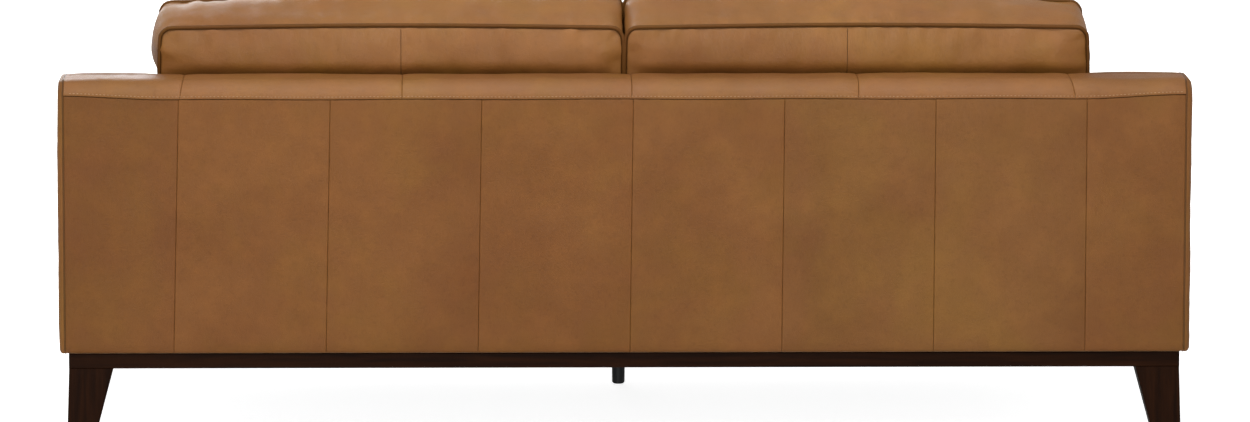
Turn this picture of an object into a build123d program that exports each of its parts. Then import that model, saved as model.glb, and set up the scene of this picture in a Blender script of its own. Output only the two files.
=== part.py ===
"""Three-seat sofa: leather upholstery on a timber carcass, a dark timber plinth, four tapered legs
and four loose cushions.

Frame: millimetres, +Z up, origin on the floor under the middle of the sofa. The sofa faces -Y, and
+X is on the left of somebody who sits in it.
"""

import math
import os

from build123d import *

# ---- overall sizes -------------------------------------------------------------------------------
overall_width = 2150
overall_depth = 950
back_height = 682  # top of the back, and of the arms at the rear
arm_front_height = 570  # top of the arms at the front
arm_width = 185

# ---- plinth and legs -----------------------------------------------------------------------------
leg_height = 130  # floor to the underside of the plinth, glide included
glide_height = 5
plinth_height = 29
plinth_rail_width = 84
plinth_half_width = 1058
plinth_half_depth = 460
leg_top = 84
leg_foot = 55
leg_kick = 4  # how far a foot stands outside the plinth, on both outer faces
leg_edge_radius = 4
plinth_edge = 1.5  # chamfer along the plinth's rails
glide_radius = 11
glide_nail_radius = 1.5
glide_nail_length = 16
centre_leg_y = -150
centre_leg_x = 0
centre_leg_radius = 14
centre_leg_flange_radius = 26
centre_leg_flange = 6
centre_leg_taper = 1.5  # how much slimmer its foot is than its top, in radius
centre_leg_foot_edge = 3

# ---- timber carcass ------------------------------------------------------------------------------
post = 30
rail = 30
side_board = 25
seat_front_rail_y = (-455, -425)
seat_rear_rail_y = (395, 425)
corner_block_leg = 80
corner_block_heights = (10, 70)  # above the underside of the frame
rib_thickness = 25
rib_depth = 40  # from the inside back's leather to the front of the back's timber
lower_rail_heights = (290, 335)
lower_rail_thickness = 22
board = 3
seat_rail_top = 285  # the deck, on which the seat cushions lie
seat_rail_drop = 12  # from the deck down to the tops of the timber rails
arm_frame_width = 125
back_rib_count = 5
back_top_rail_height = 25

# ---- upholstery ----------------------------------------------------------------------------------
leather = 2
outer_padding = 13
rear_wadding = 15
top_padding = 30
back_lean = 8  # degrees, of the inside back
inside_back_crest = 343  # Y of the inside back at the top of the back
rear_round = 30
front_round = 25
crest_round = 25
band_drop = 35  # from the top of the back down to the rear seam
deck_thickness = 12
arm_inner_rear = 430  # Y to which the arms' inner leather runs under the band
border_depth = 75  # how far the front border's leather runs back over the deck
dust_cloth = 1.5
back_panel_pitch = 287
back_panel_shift = -15
band_seams = (838, 423, -12, -442, -846)

# ---- springs and webbing -------------------------------------------------------------------------
spring_wire_radius = 1.9
spring_bend_radius = 18
spring_width = 62
springs_per_side = 4
spring_level = 262
spring_turns = 15
spring_end_gap = 8  # from a rail to the spring's last straight stretch
clip_width = 16
clip_gauge = 1.2
clip_play = 0.3
strap_width = 50
strap_thickness = 2
strap_columns = 10
strap_rows = 3

# ---- cushions ------------------------------------------------------------------------------------
cushion_gap = 4
seat_cushion_thickness = 152
seat_cushion_front = -472
seat_cushion_rear = 284
back_cushion_lean = 13
back_cushion_height = 344
back_cushion_thickness = 154
back_cushion_rear_top = (360, 774)  # Y and Z of the upper rear edge
cushion_corner = 30
cushion_edge = 18
piping_radius = 3
core_clearance = 0.5

# ---- fasteners -----------------------------------------------------------------------------------
leg_bolt_radius = 4
leg_bolt_depth = 45
leg_bolt_top = 185
plinth_screw_places = (-700, -235, 235, 700)
plinth_screw_y = 440
frame_screw_depth = 32
screw_radius = 2.5
screw_head_radius = 5
hole_clearance = 0.2

# ---- sizes that follow from those ----------------------------------------------------------------
half_width = overall_width / 2
front = -overall_depth / 2
rear = overall_depth / 2
body_bottom = leg_height + plinth_height
arm_inside = half_width - arm_width
arm_slope = (back_height - arm_front_height) / (inside_back_crest - front)
frame_outside = half_width - leather - outer_padding - board
frame_inside = frame_outside - arm_frame_width
frame_front = front + leather + outer_padding
frame_rear = rear - leather - rear_wadding - board
lean_run = math.tan(math.radians(back_lean))
leaning_leather = leather / math.cos(math.radians(back_lean))  # its thickness along Y
rail_span = (-frame_inside, frame_inside)
rail_heights = (body_bottom, seat_rail_top - seat_rail_drop)
arm_frame_top = top_padding + back_top_rail_height  # drop from the arm's top to the posts' tops
rib_top = back_height - arm_frame_top
rib_spacing = (2 * frame_inside - rib_thickness) / (back_rib_count - 1)
wadding_face = rear - leather
wadding_top = back_height - band_drop
arm_leather_inside = arm_inside + leather
arm_leather_outside = half_width - leather
plinth_inside_x = plinth_half_width - plinth_rail_width
plinth_inside_y = plinth_half_depth - plinth_rail_width
foot_centre_x = plinth_half_width + leg_kick - leg_foot / 2
foot_centre_y = plinth_half_depth + leg_kick - leg_foot / 2
cushion_width = (2 * arm_inside - 3 * cushion_gap) / 2
cushion_centre = (cushion_width + cushion_gap) / 2
leg_centre = plinth_half_width - leg_top / 2
leg_centre_y = plinth_half_depth - leg_top / 2
sides = {"left": 1, "right": -1}
ends = {"front": -1, "rear": 1}

os.makedirs("parts", exist_ok=True)


def save(builder, name):
    """Labels a finished sub-part and writes its STEP file."""
    builder.part.label = name
    export_step(builder.part, f"parts/{name}.step")


def low_high(a, b):
    """Both numbers, the lower one first."""
    return min(a, b), max(a, b)


def bar(x, y, z):
    """A square-edged bar or board between two values of X, of Y and of Z."""
    (x0, x1), (y0, y1), (z0, z1) = low_high(*x), low_high(*y), low_high(*z)
    with Locations(((x0 + x1) / 2, (y0 + y1) / 2, (z0 + z1) / 2)):
        Box(x1 - x0, y1 - y0, z1 - z0)


def hole_up(x, y, z0, z1, radius):
    """Cuts a round vertical hole between two heights out of the part being built."""
    with Locations((x, y, (z0 + z1) / 2)):
        Cylinder(radius, z1 - z0, mode=Mode.SUBTRACT)


def bolt_hole(x, y, z0, z1):
    """Cuts a leg bolt's hole between two heights out of the part being built."""
    hole_up(x, y, z0, z1, leg_bolt_radius + hole_clearance)


def pin(x, y, z0, z1, radius):
    """A round upright pin between two heights."""
    with Locations((x, y, z0)):
        Cylinder(radius, z1 - z0, align=(Align.CENTER, Align.CENTER, Align.MIN))


def arm_top(y):
    """Height of the arm's top at a given Y: level over the back, falling towards the front."""
    return back_height - arm_slope * max(0, inside_back_crest - y)


def inside_back(z, depth=0):
    """Y of the inside back's surface at a given height, or of a layer at a depth behind it."""
    return inside_back_crest - (back_height - z) * lean_run + depth


def side_slab(x, y0, y1, z0, drop, round_front=0, round_rear=0, mode=Mode.ADD):
    """A slab with the sofa's side outline, from z0 up to drop below the top, between two values of X."""
    x0, x1 = low_high(*x)
    points = [(y0, z0), (y1, z0), (y1, arm_top(y1) - drop), (y0, arm_top(y0) - drop)]
    if y0 < inside_back_crest < y1:
        points.insert(3, (inside_back_crest, back_height - drop))
    with BuildSketch(Plane.YZ.offset(x0)) as outline:
        with BuildLine():
            Polyline(*points, close=True)
        make_face()
        for y, radius in ((y0, round_front), (y1, round_rear)):
            if radius:
                on_side = outline.vertices().filter_by(lambda v: abs(v.X - y) < 1)
                fillet(on_side.sort_by(Axis.Y)[-1], radius)
    extrude(outline.sketch, amount=x1 - x0, mode=mode)


def clear_back_frame(x):
    """Cuts the room for the back's timber out of the part being built, between two values of X."""
    x0, x1 = low_high(*x)
    top = back_height - top_padding
    with BuildSketch(Plane.YZ.offset(x0)) as room:
        with BuildLine():
            Polyline(
                (inside_back(body_bottom - 1, rib_depth), body_bottom - 1),
                (inside_back(top, rib_depth), top),
                (frame_rear + board, top),
                (frame_rear + board, body_bottom - 1),
                close=True,
            )
        make_face()
    extrude(room.sketch, amount=x1 - x0, mode=Mode.SUBTRACT)


# ==== plinth and legs =============================================================================


def plinth_end_rail(end):
    """The front or the rear rail of the plinth, which runs the full width."""
    outer, inner = end * plinth_half_depth, end * plinth_inside_y
    with BuildPart() as piece:
        bar((-plinth_half_width, plinth_half_width), (outer, inner), (leg_height, body_bottom))
        chamfer(piece.edges().filter_by(Axis.X), plinth_edge)
        for side in sides.values():
            bolt_hole(side * leg_centre, end * leg_centre_y, leg_height, body_bottom)
        for x in plinth_screw_places:
            plinth_screw_hole(x, end * plinth_screw_y)
    return piece


def plinth_screw_hole(x, y):
    """A countersunk hole from below, through the plinth."""
    radius, head_radius = screw_radius + hole_clearance, screw_head_radius + hole_clearance
    with Locations(Location((x, y, leg_height), (180, 0, 0))):
        CounterSinkHole(radius, head_radius, plinth_height + 1, 90)


for name, end in ends.items():
    save(plinth_end_rail(end), f"plinth_{name}_rail")

for name, side in sides.items():
    outer, inner = side * plinth_half_width, side * plinth_inside_x
    with BuildPart() as plinth_side_rail:
        bar((outer, inner), (-plinth_inside_y, plinth_inside_y), (leg_height, body_bottom))
        chamfer(plinth_side_rail.edges().filter_by(Axis.Y), plinth_edge)
    save(plinth_side_rail, f"plinth_side_rail_{name}")

with BuildPart() as plinth_cross_rail:
    half = plinth_rail_width / 2
    bar((-half, half), (-plinth_inside_y, plinth_inside_y), (leg_height, body_bottom))
    bolt_hole(centre_leg_x, centre_leg_y, leg_height, body_bottom)
save(plinth_cross_rail, "plinth_cross_rail")


def leg(side, end):
    """A square leg whose two inner faces taper, with a blind bolt hole above and a nail hole below."""
    nail_top = glide_height + glide_nail_length + 1
    with BuildPart() as piece:
        with BuildSketch(Plane.XY.offset(glide_height)):
            with Locations((side * foot_centre_x, end * foot_centre_y)):
                Rectangle(leg_foot, leg_foot)
        with BuildSketch(Plane.XY.offset(leg_height)):
            with Locations((side * leg_centre, end * leg_centre_y)):
                Rectangle(leg_top, leg_top)
        loft(ruled=True)
        long_edges = piece.edges().filter_by(lambda e: e.length > leg_height * 0.9)
        fillet(long_edges, leg_edge_radius)
        bolt_hole(side * leg_centre, end * leg_centre_y, leg_height - leg_bolt_depth, leg_height)
        nail_hole_radius = glide_nail_radius + hole_clearance
        hole_up(side * foot_centre_x, end * foot_centre_y, glide_height, nail_top, nail_hole_radius)
    return piece


for end_name, end in ends.items():
    for side_name, side in sides.items():
        save(leg(side, end), f"leg_{end_name}_{side_name}")

with BuildPart() as leg_glides:
    for end in ends.values():
        for side in sides.values():
            foot = (side * foot_centre_x, end * foot_centre_y)
            pin(*foot, 0, glide_height, glide_radius)
            pin(*foot, glide_height, glide_height + glide_nail_length, glide_nail_radius)
save(leg_glides, "leg_glides")

with BuildPart() as leg_bolts:
    for end in ends.values():
        for side in sides.values():
            bottom = leg_height - leg_bolt_depth + 1
            pin(side * leg_centre, end * leg_centre_y, bottom, leg_bolt_top, leg_bolt_radius)
save(leg_bolts, "leg_bolts")

# The middle of the sofa stands on a moulded leg under the cross rail.
with BuildPart() as centre_leg:
    with BuildSketch(Plane.XZ.offset(-centre_leg_y)) as half_section:
        with BuildLine():
            foot_radius = centre_leg_radius - centre_leg_taper
            Polyline(
                (centre_leg_x, 0),
                (centre_leg_x + foot_radius - centre_leg_foot_edge, 0),
                (centre_leg_x + foot_radius, centre_leg_foot_edge),
                (centre_leg_x + centre_leg_radius, leg_height - centre_leg_flange),
                (centre_leg_x + centre_leg_flange_radius, leg_height - centre_leg_flange),
                (centre_leg_x + centre_leg_flange_radius, leg_height),
                (centre_leg_x, leg_height),
                close=True,
            )
        make_face()
    revolve(axis=Axis((centre_leg_x, centre_leg_y, 0), (0, 0, 1)))
    bolt_hole(centre_leg_x, centre_leg_y, leg_height - leg_bolt_depth, leg_height)
save(centre_leg, "centre_leg")

with BuildPart() as centre_leg_bolt:
    pin(centre_leg_x, centre_leg_y, leg_height - leg_bolt_depth + 1, body_bottom - 1, leg_bolt_radius)
save(centre_leg_bolt, "centre_leg_bolt")

with BuildPart() as plinth_screws:
    for end in ends.values():
        for x in plinth_screw_places:
            with BuildSketch(Plane.XZ.offset(-end * plinth_screw_y)):
                with BuildLine():
                    Polyline(
                        (x, leg_height),
                        (x + screw_head_radius, leg_height),
                        (x + screw_radius, leg_height + screw_head_radius - screw_radius),
                        (x + screw_radius, body_bottom + frame_screw_depth - 3),
                        (x, body_bottom + frame_screw_depth - 1),
                        close=True,
                    )
                make_face()
            revolve(axis=Axis((x, end * plinth_screw_y, 0), (0, 0, 1)))
save(plinth_screws, "plinth_screws")

# ==== seat frame ==================================================================================

with BuildPart() as seat_front_rail:
    bar(rail_span, seat_front_rail_y, rail_heights)
    for x in plinth_screw_places:
        screw_top = body_bottom + frame_screw_depth
        hole_up(x, -plinth_screw_y, body_bottom, screw_top, screw_radius + hole_clearance)
save(seat_front_rail, "seat_front_rail")

with BuildPart() as seat_rear_rail:
    bar(rail_span, seat_rear_rail_y, rail_heights)
save(seat_rear_rail, "seat_rear_rail")

with BuildPart() as seat_side_rails:
    for side in sides.values():
        bar(
            (side * frame_inside, side * (frame_inside - side_board)),
            (seat_front_rail_y[1], seat_rear_rail_y[0]),
            rail_heights,
        )
save(seat_side_rails, "seat_side_rails")

# Glued triangular blocks hold the four corners of the seat frame square.
with BuildPart() as corner_blocks:
    for side in sides.values():
        corner_x = side * (frame_inside - side_board)
        for corner_y, inward in ((seat_front_rail_y[1], 1), (seat_rear_rail_y[0], -1)):
            with BuildSketch(Plane.XY.offset(body_bottom + corner_block_heights[0])):
                with BuildLine():
                    Polyline(
                        (corner_x, corner_y),
                        (corner_x - side * corner_block_leg, corner_y),
                        (corner_x, corner_y + inward * corner_block_leg),
                        close=True,
                    )
                make_face()
            extrude(amount=corner_block_heights[1] - corner_block_heights[0])
save(corner_blocks, "corner_blocks")

# ==== seat springs ================================================================================


def spring_places():
    """X of each zigzag spring, evenly spaced under the two seats."""
    pitch = frame_inside * 2 / (2 * springs_per_side + 1)
    return [(i - springs_per_side + 0.5) * pitch for i in range(2 * springs_per_side)]


spring_ends = (seat_front_rail_y[1] + spring_end_gap, seat_rear_rail_y[0] - spring_end_gap)

with BuildPart() as seat_springs:
    half = spring_width / 2
    step = (spring_ends[1] - spring_ends[0]) / spring_turns
    for x in spring_places():
        zigzag = []
        for i in range(spring_turns + 1):
            y, side = spring_ends[0] + i * step, 1 if i % 2 else -1
            zigzag += [(x - side * half, y, spring_level), (x + side * half, y, spring_level)]
        with BuildLine() as path:
            FilletPolyline(*zigzag, radius=spring_bend_radius)
        with BuildSketch(Plane(origin=path.line @ 0, z_dir=path.line % 0)):
            Circle(spring_wire_radius)
        sweep(path=path.line)
save(seat_springs, "seat_springs")

# A folded clip holds each end of a spring to the rail, round the last straight stretch of wire.
with BuildPart() as spring_clips:
    inner = spring_wire_radius + clip_play
    outer = inner + clip_gauge
    for x in spring_places():
        for end_y, rail_y in ((spring_ends[0], seat_front_rail_y[1]), (spring_ends[1], seat_rear_rail_y[0])):
            toward = 1 if rail_y > end_y else -1
            with BuildSketch(Plane.YZ.offset(x - clip_width / 2)):
                with Locations((end_y, spring_level)):
                    Circle(outer)
                reach = abs(rail_y - end_y)
                with Locations((end_y + toward * reach / 2, spring_level + inner + clip_gauge / 2)):
                    Rectangle(reach, clip_gauge)
                with Locations((rail_y - toward * clip_gauge / 2, spring_level - inner)):
                    Rectangle(clip_gauge, 2 * (2 * inner + clip_gauge))
                with Locations((end_y, spring_level)):
                    Circle(inner, mode=Mode.SUBTRACT)
            extrude(amount=clip_width)
save(spring_clips, "spring_clips")

deck_rear = inside_back(seat_rail_top) - 2
with BuildPart() as deck_pad:
    deck_y = (front + border_depth, deck_rear)
    bar((-arm_inside, arm_inside), deck_y, (seat_rail_top - deck_thickness, seat_rail_top))
save(deck_pad, "deck_pad")

with BuildPart() as dust_cover:
    cloth_x, cloth_y = plinth_inside_x - 1, plinth_inside_y - 1
    for side in sides.values():
        x = (side * cloth_x, side * (plinth_rail_width / 2 + 1))
        bar(x, (-cloth_y, cloth_y), (body_bottom - dust_cloth, body_bottom))
save(dust_cover, "dust_cover")

# ==== arm frames ==================================================================================

with BuildPart() as arm_bottom_rails:
    for side in sides.values():
        x = (side * frame_inside, side * frame_outside)
        bar(x, (frame_front, frame_rear), (body_bottom, body_bottom + rail))
        for end in ends.values():
            bolt_hole(side * leg_centre, end * leg_centre_y, body_bottom, leg_bolt_top + 2)
save(arm_bottom_rails, "arm_bottom_rails")

for name, post_front in (("front", frame_front), ("rear", frame_rear - post)):
    with BuildPart() as arm_posts:
        for side in sides.values():
            x = (side * frame_inside, side * frame_outside)
            side_slab(x, post_front, post_front + post, body_bottom + rail, arm_frame_top)
    save(arm_posts, f"arm_{name}_posts")

with BuildPart() as arm_top_rails:
    for side in sides.values():
        x = (side * frame_inside, side * frame_outside)
        side_slab(x, frame_front, frame_rear, body_bottom + rail, top_padding)
        below = body_bottom + rail - 1
        side_slab(x, frame_front - 1, frame_rear + 1, below, arm_frame_top, mode=Mode.SUBTRACT)
save(arm_top_rails, "arm_top_rails")

with BuildPart() as arm_outer_boards:
    for side in sides.values():
        x = (side * frame_outside, side * (frame_outside + board))
        side_slab(x, frame_front, frame_rear, body_bottom, top_padding)
save(arm_outer_boards, "arm_outer_boards")

with BuildPart() as arm_inner_boards:
    for side in sides.values():
        x = (side * frame_inside, side * (frame_inside - board))
        side_slab(x, frame_front, inside_back_crest, seat_rail_top, top_padding)
    clear_back_frame((-frame_inside - 1, frame_inside + 1))
save(arm_inner_boards, "arm_inner_boards")

# ==== back frame ==================================================================================

with BuildPart() as back_ribs:
    notch_low, notch_high = lower_rail_heights
    notch_depth = rib_depth + lower_rail_thickness
    for i in range(back_rib_count):
        with BuildSketch(Plane.YZ.offset(-frame_inside + i * rib_spacing)):
            with BuildLine():
                Polyline(
                    (frame_rear, body_bottom),
                    (frame_rear, rib_top),
                    (inside_back(rib_top, rib_depth), rib_top),
                    (inside_back(notch_high, rib_depth), notch_high),
                    (inside_back(notch_high, notch_depth), notch_high),
                    (inside_back(notch_low, notch_depth), notch_low),
                    (seat_rear_rail_y[1], notch_low),
                    (seat_rear_rail_y[1], body_bottom),
                    close=True,
                )
            make_face()
        extrude(amount=rib_thickness)
save(back_ribs, "back_ribs")


def lean_bar(x, z, depth, y_rear):
    """A timber bar that leans with the inside back; its rear face leans too, or stands at y_rear."""
    x0, x1 = low_high(*x)
    z0, z1 = z
    thick = depth + lower_rail_thickness
    rear_edge = [(y_rear or inside_back(height, thick), height) for height in (z1, z0)]
    with BuildSketch(Plane.YZ.offset(x0)) as section:
        with BuildLine():
            Polyline((inside_back(z0, depth), z0), (inside_back(z1, depth), z1), *rear_edge, close=True)
        make_face()
    extrude(section.sketch, amount=x1 - x0)


with BuildPart() as back_top_rail:
    lean_bar(rail_span, (rib_top, rib_top + back_top_rail_height), rib_depth, frame_rear)
save(back_top_rail, "back_top_rail")

with BuildPart() as back_lower_rail:
    lean_bar(rail_span, lower_rail_heights, rib_depth, None)
save(back_lower_rail, "back_lower_rail")


def lean_strap(x, width, z0, z1, depth, thickness):
    """A flat piece on the inside back, leaning with it, at a depth behind its leather."""
    with BuildSketch(Plane.YZ.offset(x - width / 2)) as section:
        with BuildLine():
            Polyline(
                (inside_back(z0, depth), z0),
                (inside_back(z1, depth), z1),
                (inside_back(z1, depth - thickness), z1),
                (inside_back(z0, depth - thickness), z0),
                close=True,
            )
        make_face()
    extrude(section.sketch, amount=width)


with BuildPart() as back_webbing:
    strap_from, strap_to = lower_rail_heights[0] + 5, rib_top + 15
    for i in range(strap_columns):
        x = (i + 0.5 - strap_columns / 2) * 2 * frame_inside / strap_columns
        lean_strap(x, strap_width, strap_from, strap_to, rib_depth, strap_thickness)
    row_width, front_of_columns = 2 * arm_inside - 20, rib_depth - strap_thickness
    for i in range(strap_rows):
        z = seat_rail_top + 60 + i * (rib_top - seat_rail_top - 100) / (strap_rows - 1)
        half = strap_width / 2
        lean_strap(0, row_width, z - half, z + half, front_of_columns, strap_thickness)
save(back_webbing, "back_webbing")

with BuildPart() as back_board:
    x = (-frame_outside, frame_outside)
    bar(x, (frame_rear, frame_rear + board), (body_bottom, back_height - top_padding))
save(back_board, "back_board")

# ==== padding =====================================================================================

with BuildPart() as outside_back_wadding:
    bar(
        (leather - half_width, half_width - leather),
        (wadding_face, wadding_face - rear_wadding),
        (body_bottom + leather, wadding_top),
    )
save(outside_back_wadding, "outside_back_wadding")

for name, side in sides.items():
    with BuildPart() as arm_padding:
        side_slab(
            (side * arm_leather_inside, side * arm_leather_outside),
            front + leather,
            wadding_face,
            body_bottom + leather,
            leather,
            front_round - leather,
            rear_round - leather,
        )
        cavity = (side * (frame_inside - board), side * (frame_outside + board))
        side_slab(cavity, frame_front, frame_rear + board, body_bottom, top_padding, mode=Mode.SUBTRACT)
        below_deck = seat_rail_top - body_bottom
        with Locations((side * frame_inside, 0, body_bottom + below_deck / 2)):
            Box(2 * (frame_inside - arm_inside), 3 * overall_depth, below_deck, mode=Mode.SUBTRACT)
        wadding_middle = wadding_face - rear_wadding / 2
        with Locations((side * half_width, wadding_middle, (body_bottom + wadding_top) / 2)):
            Box(overall_width, rear_wadding, wadding_top - body_bottom, mode=Mode.SUBTRACT)
        clear_back_frame((-frame_inside, frame_inside))
    save(arm_padding, f"arm_padding_{name}")

with BuildPart() as back_padding:
    top, timber_top = back_height - leather, back_height - top_padding
    webbing_depth = rib_depth - 2 * strap_thickness
    with BuildSketch(Plane.YZ.offset(-arm_inside)) as section:
        with BuildLine():
            Polyline(
                (inside_back(seat_rail_top, leaning_leather), seat_rail_top),
                (inside_back(top, leaning_leather), top),
                (wadding_face, top),
                (wadding_face, wadding_top),
                (wadding_face - rear_wadding, wadding_top),
                (wadding_face - rear_wadding, timber_top),
                (inside_back(timber_top, webbing_depth), timber_top),
                (inside_back(seat_rail_top, webbing_depth), seat_rail_top),
                close=True,
            )
        make_face()
        for which, radius in ((-1, rear_round), (0, crest_round)):
            upper = section.vertices().filter_by(lambda v: abs(v.Y - top) < 1)
            fillet(upper.sort_by(Axis.X)[which], radius - leather)
    extrude(amount=2 * arm_inside)
save(back_padding, "back_padding")

with BuildPart() as front_border_padding:
    span = (-arm_inside, arm_inside)
    bar(span, (front + leather, seat_front_rail_y[0]), (body_bottom + leather, seat_rail_top - leather))
    bar(span, (seat_front_rail_y[0], front + border_depth), (rail_heights[1], seat_rail_top - leather))
save(front_border_padding, "front_border_padding")

# ==== leather covers ==============================================================================

with BuildPart() as front_border_cover:
    span = (-arm_inside, arm_inside)
    bar(span, (front, front + leather), (body_bottom, seat_rail_top))
    bar(span, (front + leather, front + border_depth), (seat_rail_top - leather, seat_rail_top))
    bar(span, (front + leather, -plinth_half_depth), (body_bottom, body_bottom + leather))
save(front_border_cover, "front_border_cover")

for name, side in sides.items():
    with BuildPart() as arm_outer_cover:
        x = (side * arm_leather_outside, side * half_width)
        side_slab(x, front, rear, body_bottom, 0, front_round, rear_round)
    save(arm_outer_cover, f"arm_outer_cover_{name}")

    with BuildPart() as arm_inner_cover:
        x = (side * arm_inside, side * arm_leather_inside)
        side_slab(x, front + leather, arm_inner_rear, seat_rail_top, leather, front_round - leather)
        clear_back_frame((-frame_inside, frame_inside))
    save(arm_inner_cover, f"arm_inner_cover_{name}")

    # One band runs up the front of the arm and along its top to the crest of the back.
    with BuildPart() as arm_band:
        x = (side * arm_inside, side * arm_leather_outside)
        side_slab(x, front, inside_back_crest + crest_round, body_bottom, 0, front_round)
        inner_round = front_round - leather
        side_slab(x, front + leather, rear, body_bottom - 1, leather, inner_round, mode=Mode.SUBTRACT)
    save(arm_band, f"arm_band_{name}")

with BuildPart() as inside_back_cover:
    lean_strap(0, 2 * arm_inside, seat_rail_top, wadding_top, leaning_leather, leaning_leather)
save(inside_back_cover, "inside_back_cover")


def back_outline(low_y, high_y, z_low, inset):
    """The section through the top of the back, above z_low, taken in by inset all round."""
    skin = inset / math.cos(math.radians(back_lean))
    with BuildSketch(mode=Mode.PRIVATE) as outline:
        with BuildLine():
            Polyline(
                (low_y + skin, z_low),
                (inside_back(back_height - inset, skin), back_height - inset),
                (high_y - inset, back_height - inset),
                (high_y - inset, z_low),
                close=True,
            )
        make_face()
        for which, radius in ((-1, rear_round), (0, crest_round)):
            upper = outline.vertices().filter_by(lambda v: v.Y > z_low + 1)
            fillet(upper.sort_by(Axis.X)[which], radius - inset)
    return outline.sketch


def band_strip(x0, x1, y0, y1, z_low):
    """A leather strip over the top of the back between two values of X and two of Y."""
    with BuildSketch(Plane.YZ.offset(x0)) as section:
        add(back_outline(inside_back(z_low), rear, z_low, 0))
        add(back_outline(inside_back(z_low), rear, z_low, leather), mode=Mode.SUBTRACT)
        with Locations(((y0 + y1) / 2, back_height)):
            Rectangle(y1 - y0, 4 * band_drop, mode=Mode.INTERSECT)
    extrude(section.sketch, amount=x1 - x0)


# The band over the top of the back is pieced from six lengths. The two at the ends cross the arms.
band_edges = [arm_leather_outside, *band_seams, -arm_leather_outside]
with BuildPart() as back_top_band:
    past_crest = inside_back_crest + crest_round
    for x1, x0 in zip(band_edges, band_edges[1:]):
        band_strip(x0, x1, past_crest, rear + 1, wadding_top)
        inner0, inner1 = max(x0, -arm_inside), min(x1, arm_inside)
        band_strip(inner0, inner1, front, past_crest, wadding_top)
save(back_top_band, "back_top_band")

# The outside back is pieced from eight vertical panels.
panel_seams = [back_panel_shift + i * back_panel_pitch for i in range(-3, 4)]
panel_edges = [-arm_leather_outside, *panel_seams, arm_leather_outside]
with BuildPart() as outside_back_cover:
    for x0, x1 in zip(panel_edges, panel_edges[1:]):
        bar((x0, x1), (wadding_face, rear), (body_bottom, wadding_top))
        bar((x0, x1), (plinth_half_depth, wadding_face), (body_bottom, body_bottom + leather))
save(outside_back_cover, "outside_back_cover")

# ==== cushions ====================================================================================


def cushion_block(width, depth, height, inset):
    """A box with rounded corners and edges, centred on the origin, taken in by inset on every side."""
    with BuildPart() as piece:
        Box(width - 2 * inset, depth - 2 * inset, height - 2 * inset)
        fillet(piece.edges().filter_by(Axis.Z), cushion_corner - inset)
        rims = piece.faces().filter_by(Axis.Z).edges()
        fillet(rims, cushion_edge - inset)
    return piece.part


def cushion_cover(width, depth, height, place):
    """The sewn leather case of a cushion, hollow inside."""
    case = cushion_block(width, depth, height, 0)
    hollow = cushion_block(width, depth, height, leather)
    with BuildPart() as piece:
        with Locations(place):
            add(case)
            add(hollow, mode=Mode.SUBTRACT)
    return piece


def cushion_core(width, depth, height, place):
    """The foam block inside a cushion's case."""
    block = cushion_block(width, depth, height, leather + core_clearance)
    with BuildPart() as piece:
        with Locations(place):
            add(block)
    return piece


def cushion_piping(width, depth, height, place):
    """Two rings of corded piping, round the upper and the lower rim of a cushion."""
    half_x, half_y = width / 2 - piping_radius, depth / 2 - piping_radius
    corners = [(half_x, -half_y), (half_x, half_y), (-half_x, half_y), (-half_x, -half_y)]
    with BuildPart() as rings:
        for level in (piping_radius - height / 2, height / 2 - piping_radius):
            with BuildLine(Plane.XY.offset(level)) as path:
                FilletPolyline(*corners, radius=cushion_corner - piping_radius, close=True)
            with BuildSketch(Plane(origin=path.line @ 0, z_dir=path.line % 0)):
                Circle(piping_radius)
            sweep(path=path.line)
    with BuildPart() as piece:
        with Locations(place):
            add(rings.part)
    return piece


seat_cushion_depth = seat_cushion_rear - seat_cushion_front
seat_cushion_size = (cushion_width, seat_cushion_depth, seat_cushion_thickness)
seat_cushion_bottom = seat_rail_top + 1
seat_cushion_middle = (
    seat_cushion_front + seat_cushion_depth / 2,
    seat_cushion_bottom + seat_cushion_thickness / 2,
)

# A back cushion stands on its bottom boxing and leans back: its own Z runs through its thickness.
back_cushion_size = (cushion_width, back_cushion_height, back_cushion_thickness)
lean = math.radians(back_cushion_lean)
up_lean = (math.sin(lean), math.cos(lean))
forward_lean = (-math.cos(lean), math.sin(lean))
back_cushion_middle = [
    back_cushion_rear_top[i]
    - up_lean[i] * back_cushion_height / 2
    + forward_lean[i] * back_cushion_thickness / 2
    for i in range(2)
]

for name, side in sides.items():
    seat_place = Location((side * cushion_centre, *seat_cushion_middle))
    back_place = Location((side * cushion_centre, *back_cushion_middle), (90 - back_cushion_lean, 0, 0))
    cushions = (("seat", seat_cushion_size, seat_place), ("back", back_cushion_size, back_place))
    for kind, size, place in cushions:
        save(cushion_cover(*size, place), f"{kind}_cushion_{name}_cover")
        save(cushion_core(*size, place), f"{kind}_cushion_{name}_core")
        save(cushion_piping(*size, place), f"{kind}_cushion_{name}_piping")
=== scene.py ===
"""Looks of a three-seat leather sofa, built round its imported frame.

The sofa faces -Y and stands on the floor. Every piece is in metres, in the frame's own axes.
"""

import math
import bpy
import numpy as np
from bpy.props import FloatProperty, FloatVectorProperty, IntProperty, PointerProperty
from bpy.types import Operator, Panel, PropertyGroup
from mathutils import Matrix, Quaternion, Vector
from mathutils.bvhtree import BVHTree
from mathutils.kdtree import KDTree


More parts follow.
